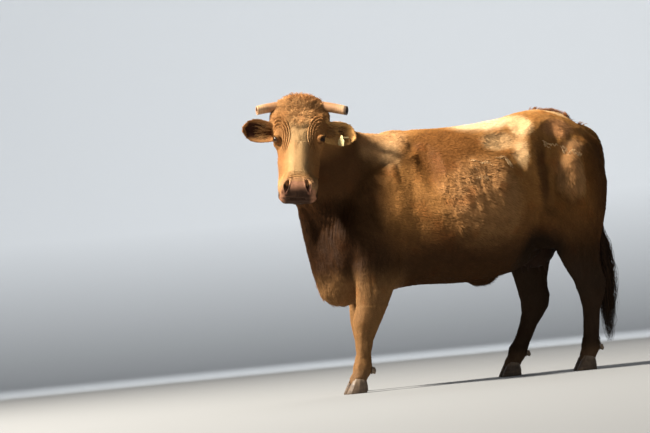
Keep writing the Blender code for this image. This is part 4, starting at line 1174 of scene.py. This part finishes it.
# ---- locks: long curled hairs, each a thin tapered strand ----
def strands(name, paths, radii, colours, places=None):
    """Three-sided strands. paths is strands x steps x 3, radii strands x steps, colours the same x 3."""
    count, steps, _ = paths.shape
    ahead = unit(np.gradient(paths, axis=1) + 1e-9)
    other = np.where(np.abs(ahead[:, :1, 2:]) > 0.8, (1.0, 0, 0), (0, 0, 1.0))
    side = unit(np.cross(ahead, np.broadcast_to(other, ahead.shape)))
    up = np.cross(side, ahead)
    start = (np.arange(count) * steps * 3)[:, None, None]
    level = (np.arange(steps - 1) * 3)[None, :, None]
    rings, quads = [], []
    for k in range(3):
        angle, n = 2 * math.pi * k / 3, (k + 1) % 3
        rings.append(paths + (side * math.cos(angle) + up * math.sin(angle)) * radii[:, :, None])
        quads.append(start + level + np.array((k, n, n + 3, k + 3)))
    quads = np.stack(quads, axis=2).reshape(-1, 4)
    caps = np.concatenate([start[:, 0] + (2, 1, 0), start[:, 0] + (steps - 1) * 3 + (0, 1, 2)])
    made = mesh_from(name, np.stack(rings, axis=2).reshape(-1, 3), [quads, caps])
    paint(made.data, np.repeat(colours.reshape(-1, 3), 3, axis=0))
    if places is None:
        places = np.stack([np.linspace(0.1, 0.9, count), np.full(count, 0.5)], axis=1)
    spread = np.array(((-1, -1), (1, -1), (0, 1))) * PATCH
    rise = np.linspace(0, 1, steps)[None, :, None, None] * np.array((0.0, 0.0008))
    flat = (places[:, None, None, :] + spread[None, None] + rise).reshape(-1, 2)
    bake_map(made, flat, np.concatenate([quads.ravel(), caps.ravel()]))
    return made


def tapered(radius, steps, thin, spread):
    """Radii that thin towards the tips of strands; spread gives each strand its own size."""
    return radius * (1 - np.linspace(0, 1, steps) ** 2 * thin)[None, :] * spread


def toned(colour, root, tip, steps):
    """Each strand's colour, from a shade at its root to one at its tip."""
    return np.linspace(root, tip, steps)[None, :, None] * colour[:, None, :]


def curled(root, along, out, length, lift, curl, turns, steps):
    """Centre lines that rise from the skin and wave or curl as they go."""
    share = np.linspace(0, 1, steps)[None, :, None]
    side = np.cross(out, along)[:, None, :]
    phase = random.uniform(0, 2 * math.pi, (len(root), 1, 1))
    turn = share * turns * 2 * math.pi * random.uniform(0.75, 1.25, (len(root), 1, 1)) + phase
    length = length * random.uniform(0.7, 1.25, (len(root), 1, 1))
    wave = curl * (1 - (1 - share) ** 2)
    path = root[:, None, :] + along[:, None, :] * (share * length)
    path = path + side * (np.sin(turn) - np.sin(phase)) * wave
    rise = lift * np.sin(share * math.pi * 0.62) * length + (np.cos(turn) - np.cos(phase)) * wave * 0.5
    return path + out[:, None, :] * (np.maximum(rise, 0.0008 * (share > 0)))


def locks(name, skin, density, length, radius, lift, curl, turns, mess=0.5, way=None, tint=None):
    """Grows locks where the density says so."""
    steps = 8
    root, out, place = scatter(skin.data, density)
    angle = mess * (noise(root, 0.03, 80) + 0.5 * random.standard_normal(len(root)))
    along = turned(lie_of_hair(root) if way is None else even(way, root), out, angle)
    path = curled(root - out * 0.001, along, out, length, lift, curl, turns, steps)
    radii = tapered(radius, steps, 0.92, random.uniform(0.7, 1.3, (len(root), 1)))
    colour = tuft_shades(root, hide_colour(root) if tint is None else even(tint, root))
    finished(strands(name, path, radii, toned(colour, 0.80, 1.45, steps), place), "coat", HAIR)


def crown_density(points):
    """Curls on the poll and down the middle of the forehead."""
    face = to_head(points)
    x, y, z = face.T
    front = y + 0.030 * layered(face, 0.05, 92)
    crown = ease(-0.150, 0.0, front) * ease(0.085, 0.03, y) * ease(-0.075, -0.01, z)
    return np.where(bare(points), 0, on_head(points) * 26000 * crown * ease(0.115, 0.060, np.abs(x)))


def crest_density(points):
    """The rough strip of old winter hair along the spine over the croup."""
    x, y, z = points.T
    strip = ease(0.034, 0.012, np.abs(x + 0.01 * noise(points, 0.05, 90)))
    strip = strip * ease(0.43, 0.51, y) * ease(0.77, 0.68, y) * ease(-0.8, 0.1, noise(points, 0.030, 91))
    return 60000 * strip * (z > 1.2)


FETLOCKS = [(0.205, -0.590, 0.150), (-0.130, -0.500, 0.150), (0.180, 0.640, 0.150), (-0.130, 0.430, 0.150)]


def fringe_density(points):
    """Longer hair at the navel, on the brisket and at the fetlocks."""
    navel = near(points, (0.02, 0.08, 0.53), (0.07, 0.12, 0.08))
    brisket = near(points, (0.03, -0.78, 0.55), (0.10, 0.12, 0.16))
    fetlocks = sum(near(points, place, (0.05, 0.035, 0.035)) for place in FETLOCKS)
    hairs = 9000 * ease(0, 0.3, navel) + 5000 * ease(0, 0.4, brisket) + 14000 * ease(0, 0.3, fetlocks)
    return np.where(bare(points), 0, hairs)


# ---- wisps of shed hair that cling to the rump and flank (left side) ----
WISPS = [
    [(0.246, 0.429, 1.240), (0.221, 0.476, 1.207), (0.238, 0.537, 1.196), (0.249, 0.539, 1.151),
     (0.256, 0.573, 1.170), (0.259, 0.627, 1.144)],
    [(0.305, -0.028, 1.154), (0.312, 0.020, 1.150), (0.317, 0.082, 1.124)],
    [(0.318, -0.025, 1.121), (0.326, -0.012, 1.105), (0.328, -0.003, 1.097)],
    [(0.297, 0.084, 1.173), (0.295, 0.174, 1.162), (0.300, 0.190, 1.130), (0.307, 0.203, 1.111)],
    [(0.342, -0.024, 1.050), (0.338, 0.020, 1.070), (0.334, 0.070, 1.070)],
]


def along_path(path, share):
    """Points at those shares of a path's length."""
    path = np.array(path, float)
    legs = np.linalg.norm(np.diff(path, axis=0), axis=1)
    ends = np.concatenate([[0], np.cumsum(legs)]) / legs.sum()
    return np.stack([np.interp(share, ends, path[:, axis]) for axis in range(path.shape[1])], axis=-1)


def onto(skin, points, way=None):
    """The points dropped on the skin (along a direction, or the shortest way), its normals, its unwrap."""
    landed, normals, unwrapped = [], [], []
    layer = skin.data.uv_layers["OFBake"].data
    for point in points:
        hit = False
        if way is not None:
            hit, place, normal, face = skin.ray_cast(Vector(point), Vector(way), distance=0.12)
        if not hit:
            _, place, normal, face = skin.closest_point_on_mesh(Vector(point))
        landed.append(place)
        normals.append(normal)
        unwrapped.append(layer[skin.data.polygons[face].loop_start].uv[:])
    return np.array(landed), np.array(normals), np.array(unwrapped)


def wisps(skin):
    """Short zigzag threads, a few together, strung along each path."""
    steps, threads = 18, 4
    paths, places = [], []
    for path in WISPS:
        reach = np.linalg.norm(np.diff(np.array(path), axis=0), axis=1).sum()
        for _ in range(int(reach / 0.016)):
            middle = random.uniform(0, 1)
            half = random.uniform(0.012, 0.030) / reach
            share = np.clip(np.linspace(middle - half, middle + half, steps), 0, 1)
            line = along_path(path, share) + random.normal(0, 0.006, 3)
            zigzag = np.arcsin(np.sin(share * reach / 0.017 * 2 * math.pi + random.uniform(0, 6)))
            line[:, 2] += 0.0042 * zigzag * random.uniform(0.6, 1.3)
            for _ in range(threads):
                landed, normal, place = onto(skin, line + random.normal(0, 0.0011, 3))
                lift = 0.0050 + 0.0035 * np.sin(share * reach * 150 + random.uniform(0, 6))
                paths.append(landed + normal * lift[:, None])
                places.append(place[0])
    count = len(paths)
    radii = 0.0013 * np.sin(np.linspace(0.15, math.pi - 0.15, steps)) * random.uniform(0.6, 1.3, (count, 1))
    tint = np.array(SHED_HAIR) * random.uniform(0.7, 1.10, (count, 1))
    made = strands("coat_wisps", np.array(paths), radii, toned(tint, 1, 1, steps), np.array(places))
    finished(made, "coat", HAIR)


def ear_hairs(skin):
    """Pale hairs that fan out over the hollow of each ear from its root."""
    count, steps = (110), 7
    for side, _ in SIDES:
        base, along, facing = ear_axes(side)
        wide = np.cross(facing, along)
        start = random.uniform(0.030, 0.100, count)
        spot = random.uniform(-1, 1, count)
        fan = unit(np.stack([np.full(count, 1.0), spot * 0.50], axis=1))
        root = base + along * start[:, None] + wide * (spot * 0.036)[:, None]
        root, _, place = onto(skin, from_head(root + facing * 0.045), -facing @ HEAD_TURN.T)
        way = unit((along * fan[:, :1] + wide * fan[:, 1:]) @ HEAD_TURN.T)
        path = curled(root, way, even(facing @ HEAD_TURN.T, root), 0.046, 0.20, 0.0035, 0.6, steps)
        radii = tapered(0.0008, steps, 0.9, random.uniform(0.7, 1.3, (count, 1)))
        tint = np.array(EAR_HAIR) * random.uniform(0.6, 1.25, (count, 1))
        made = strands("ear_hairs_" + side, path, radii, toned(tint, 0.6, 1.15, steps), place)
        finished(made, "coat", HAIR)


def lashes(skin):
    """The upper lids' lashes."""
    count, steps = 70, 6
    for side, sign in SIDES:
        out, long, high = eye_axes(sign)
        angle = random.uniform(0.25, math.pi - 0.25, count)
        rim = np.stack([np.cos(angle) * LID_HALF_LENGTH, np.sin(angle) * LID_HALF_HEIGHT], axis=1) * 1.10
        away = unit(out * EYE_RADIUS + long * rim[:, :1] + high * rim[:, 1:])
        root = mirrored(EYE_PLACE, sign) + away * (EYE_RADIUS + 0.0022)
        root, _, place = onto(skin, from_head(root))
        way = unit(out * 0.75 + long * rim[:, :1] * 12 + high * 0.35) @ HEAD_TURN.T
        path = curled(root, way, even(high @ HEAD_TURN.T, root), 0.0125, 0.35, 0.0006, 0.4, steps)
        radii = tapered(0.00032, steps, 0.85, np.ones((count, 1)))
        made = strands("lashes_" + side, path, radii, toned(even(LASH, root), 1, 1, steps), place)
        finished(made, "coat", HAIR)


# The tail's plume from its top to its end: place and how far it reaches.
SWITCH = [(0.0195, 0.7925, 0.815, 0.010), (0.0205, 0.793, 0.775, 0.014), (0.022, 0.791, 0.745, 0.020),
          (0.028, 0.790, 0.680, 0.032), (0.034, 0.792, 0.560, 0.042), (0.036, 0.788, 0.440, 0.040),
          (0.036, 0.783, 0.320, 0.032), (0.036, 0.779, 0.220, 0.022), (0.036, 0.777, 0.140, 0.008)]


def tail_hair():
    """The dark switch: waving strands that hang from the end of the tail in a ragged plume."""
    count, steps = (560), 20
    down = np.linspace(0, 1, steps)[None, :]
    start = 0.38 * random.random(count) ** 1.3
    end = np.clip(0.62 + 0.40 * random.random(count) ** 0.8, 0, 1.0)
    share = start[:, None] + (end - start)[:, None] * down
    line = along_path(SWITCH, share)
    path, reach = line[..., :3].copy(), line[..., 3]
    angle = random.uniform(0, 2 * math.pi, (count, 1)) + 0.7 * (share - start[:, None])
    stray = 1.12 + 0.75 * (random.random((count, 1)) < 0.16)
    out = random.random((count, 1)) ** 0.5 * reach * stray * (0.45 + 0.55 * down) ** 0.5
    wave = 2 * math.pi * (share * random.uniform(3.6, 6.0, (count, 1))) + random.uniform(0, 2.6, (count, 1))
    swell = random.uniform(0.004, 0.016, (count, 1)) * np.sin(down * 2.2)
    path[..., 0] += np.cos(angle) * out + swell * np.sin(wave)
    path[..., 1] += np.sin(angle) * out * 1.05 + swell * np.sin(wave * 0.8 + 1.0)
    radii = tapered(0.0015, steps, 0.90, random.uniform(0.5, 1.2, (count, 1)))
    tint = blend(even(SWITCH_DARK, path), SWITCH_BROWN, 0.7 * random.random(count) ** 2)
    finished(strands("switch", path, radii, toned(tint, 1.5, 0.9, steps)), "tail_hair", HAIR, "tail_switch")


# ---- eyes, horns, claws and tag ----
def turned_form(name, centres, ahead, radii):
    """A closed surface of rings about a line, with its ends capped. radii is rings x corners."""
    levels, count = radii.shape
    side = unit(np.cross(ahead, (0.0, 1.0, 0.35)))
    angle = np.linspace(0, 2 * math.pi, count, endpoint=False)[:, None]
    circle = np.cos(angle) * side + np.sin(angle) * np.cross(side, ahead)
    points = (centres[:, None] + circle * radii[..., None]).reshape(-1, 3)
    ring = np.arange(count)
    after = (ring + 1) % count
    level = (np.arange(levels - 1) * count)[:, None]
    quads = np.stack([level + ring, level + after, level + count + after, level + count + ring], axis=-1)
    ends = np.stack([ring[::-1], (levels - 1) * count + ring])
    return mesh_from(name, points, [quads.reshape(-1, 4), ends])


def eyeball(side, sign):
    """A ball with a raised cornea, a streaked brown iris and a wide pupil."""
    out, long, high = eye_axes(sign)
    tilt = np.linspace(0.004, math.pi - 0.004, 64)
    tilt = tilt * (0.55 + 0.45 * tilt / math.pi)
    radius = EYE_RADIUS * (1 + 0.055 * bell(tilt, 0, 0.42))
    centres = mirrored(EYE_PLACE, sign) + out * (np.cos(tilt) * radius)[:, None]
    made = turned_form("eyeball_" + side, centres, -out, np.tile((np.sin(tilt) * radius)[:, None], (1, 72)))
    away = points_of(made.data) - mirrored(EYE_PLACE, sign)
    p, q = away @ long, away @ high
    lean = np.arccos(np.clip(away @ out / np.linalg.norm(away, axis=1), -1, 1))
    streak = np.sin(np.arctan2(q, p) * 46 + 3 * noise(away, 0.004, 3))
    pupil = np.sqrt((p / 0.0075) ** 2 + (q / 0.0045) ** 2) * (lean < 1)
    paint(made.data, overlaid(even(EYE_WHITE, away), (
        (LID_RIM, ease(1.45, 0.85, lean)),
        (np.array(IRIS) * (1 + 0.35 * streak)[:, None], ease(0.585, 0.555, lean)),
        (IRIS_EDGE, 0.8 * bell(lean, 0.57, 0.035)),
        (PUPIL, ease(1.08, 0.94, pupil) * (lean < 1)),
    )))
    write(made.data, from_head(points_of(made.data)))
    finished(made, "eye", WET, "eye_" + side)


# The horn's sawn end, from its edge into its hollow: how far beyond the length, share of the radius.
HORN_CUT = np.array(((0.0008, 0.975), (0.0014, 0.92), (0.0013, 0.78), (0.0006, 0.67), (-0.001, 0.62),
                     (-0.004, 0.60), (-0.009, 0.52), (-0.012, 0.32), (-0.013, 0.05)))


def horn(side, sign):
    """A sawn-off horn with growth rings, a cut rim and a dark hollow in its end."""
    length, rings, count = HORN_LENGTH[side], 90, 64
    out = unit(mirrored(HORN_DIRECTION, sign))
    share = np.concatenate([np.linspace(-0.12, 1.0, rings), np.ones(len(HORN_CUT))])
    beyond = np.concatenate([np.zeros(rings), HORN_CUT[:, 0]])
    narrow = np.concatenate([np.ones(rings), HORN_CUT[:, 1]])
    radius = HORN_RADII[0] + (HORN_RADII[1] - HORN_RADII[0]) * share
    radius = radius * (1 + 0.012 * np.sin(9 * share))
    ridge = np.sin(share * length / 0.0095 * 2 * math.pi + 2.0 * np.sin(share * 11))
    ridge = ridge * (0.35 + 0.65 * np.abs(np.sin(share * 23 + sign)))
    radius = radius + 0.00028 * ridge * (narrow == 1) - 0.0004
    centres = mirrored(HORN_BASE, sign) + out * (length * share + beyond)[:, None]
    centres = centres + np.array(HORN_SAG) * (share**2)[:, None]
    angle = np.linspace(0, 2 * math.pi, count, endpoint=False)
    uneven = 1 + 0.020 * np.sin(2 * angle + 1)[None, :] + 0.012 * np.sin(5 * angle + 6 * share[:, None])
    made = turned_form("horn_sheath_" + side, centres, out, (radius * narrow)[:, None] * uneven)
    points = points_of(made.data)
    far, inside, groove = (np.repeat(values, count) for values in (share, narrow, -ridge))
    end = 0.85 * ease(0.91, 0.96, far) * (side == "left")
    paint(made.data, overlaid(even(HORN_ROOT, points), (
        (HORN_MIDDLE, ease(0.1, 0.45, far)),
        (HORN_END, ease(0.55, 0.98, far)),
        (HORN_GROOVE, 0.45 * ease(0.0, 0.8, groove) * (inside == 1)),
        (HORN_STAIN, 0.50 * ease(0.0, 0.9, layered(points, 0.03, 5))),
        (HORN_RIM[side], np.maximum(ease(1.0, 0.90, inside), end)),
        (HORN_CORE[side], ease(0.70, 0.62, inside)),
    )))
    write(made.data, from_head(points))
    finished(made, "horn", HORN, "horn_" + side)


def foot(end, side):
    """The claws and dewclaws of one foot."""
    foot_name = "_" + end + "_" + side
    nodes = [kind + foot_name + "_" + half for kind in ("claw", "dewclaw") for half in ("outer", "inner")]
    made = remeshed(from_nodes("claws" + foot_name, nodes), 0.0026)
    mesh = made.data
    relaxed(mesh, 12)
    relaxed(mesh, 14, points_of(mesh)[:, 2] > HOOF_TOP, 0.40)
    points = points_of(mesh)
    height = points[:, 2]
    rings = waves(height + 0.10 * points[:, 1] + 0.002 * noise(points, 0.03, 2), 0.0075)
    rings = rings * (0.4 + 0.6 * np.abs(noise(points, 0.02, 3)))
    grown = points + normals_of(mesh) * (0.00028 * rings * (height > 0.004))[:, None]
    grown[:, 2] = np.where(height < 0.0020, 0.0, np.maximum(grown[:, 2], 0.0))
    write(mesh, grown)
    paint(mesh, overlaid(even(CLAW_DARK, points), (
        (CLAW_PALE, 0.5 + 0.5 * layered(points * (1, 1, 3), 0.03, 7)),
        (CLAW_TOP, 0.6 * ease(0.050, 0.066, height)),
        (CLAW_EDGE, 0.7 * ease(0.012, 0.0, height)),
    )))
    finished(made, "hoof", CLAW, *nodes)


def ear_tag():
    made = remeshed(from_nodes("tag_plate", ["ear_tag"]), 0.0010)
    relaxed(made.data, 5)
    points = points_of(made.data)
    dirt = 0.5 * ease(0.1, 0.9, layered(points, 0.012, 5))
    paint(made.data, blend(even(TAG_YELLOW, points), TAG_DIRT, dirt))
    finished(made, "tag_plastic", TAG, "ear_tag")


camera()
stage()
lights()

# ---- the cow ----
skin = skin_shell()
work_skin(skin)
unwrap(skin)
bpy.context.view_layer.update()
# The skin is painted darker than the coat, as painted shade between the tufts.
paint(skin.data, hide_colour(points_of(skin.data)) * SKIN_GAP_SHADE)
grow_coat(skin)
# Name, skin and density; the hairs' length, radius, lift, curl, turns and mess; their way and tint.
locks("coat_crown", skin, crown_density, 0.025, 0.0011, 0.30, 0.0050, 0.9, 1.0)
locks("coat_crest", skin, crest_density, 0.021, 0.0010, 0.80, 0.0022, 0.5, 0.9, CREST_WAY, CREST)
locks("coat_fringe", skin, fringe_density, 0.026, 0.0009, 0.25, 0.0030, 0.5)
wisps(skin)
ear_hairs(skin)
lashes(skin)
finished(skin, "coat", HIDE, *FLESH)
tail_hair()
for side, sign in SIDES:
    eyeball(side, sign)
    horn(side, sign)
    for end in ("fore", "hind"):
        foot(end, side)
ear_tag()
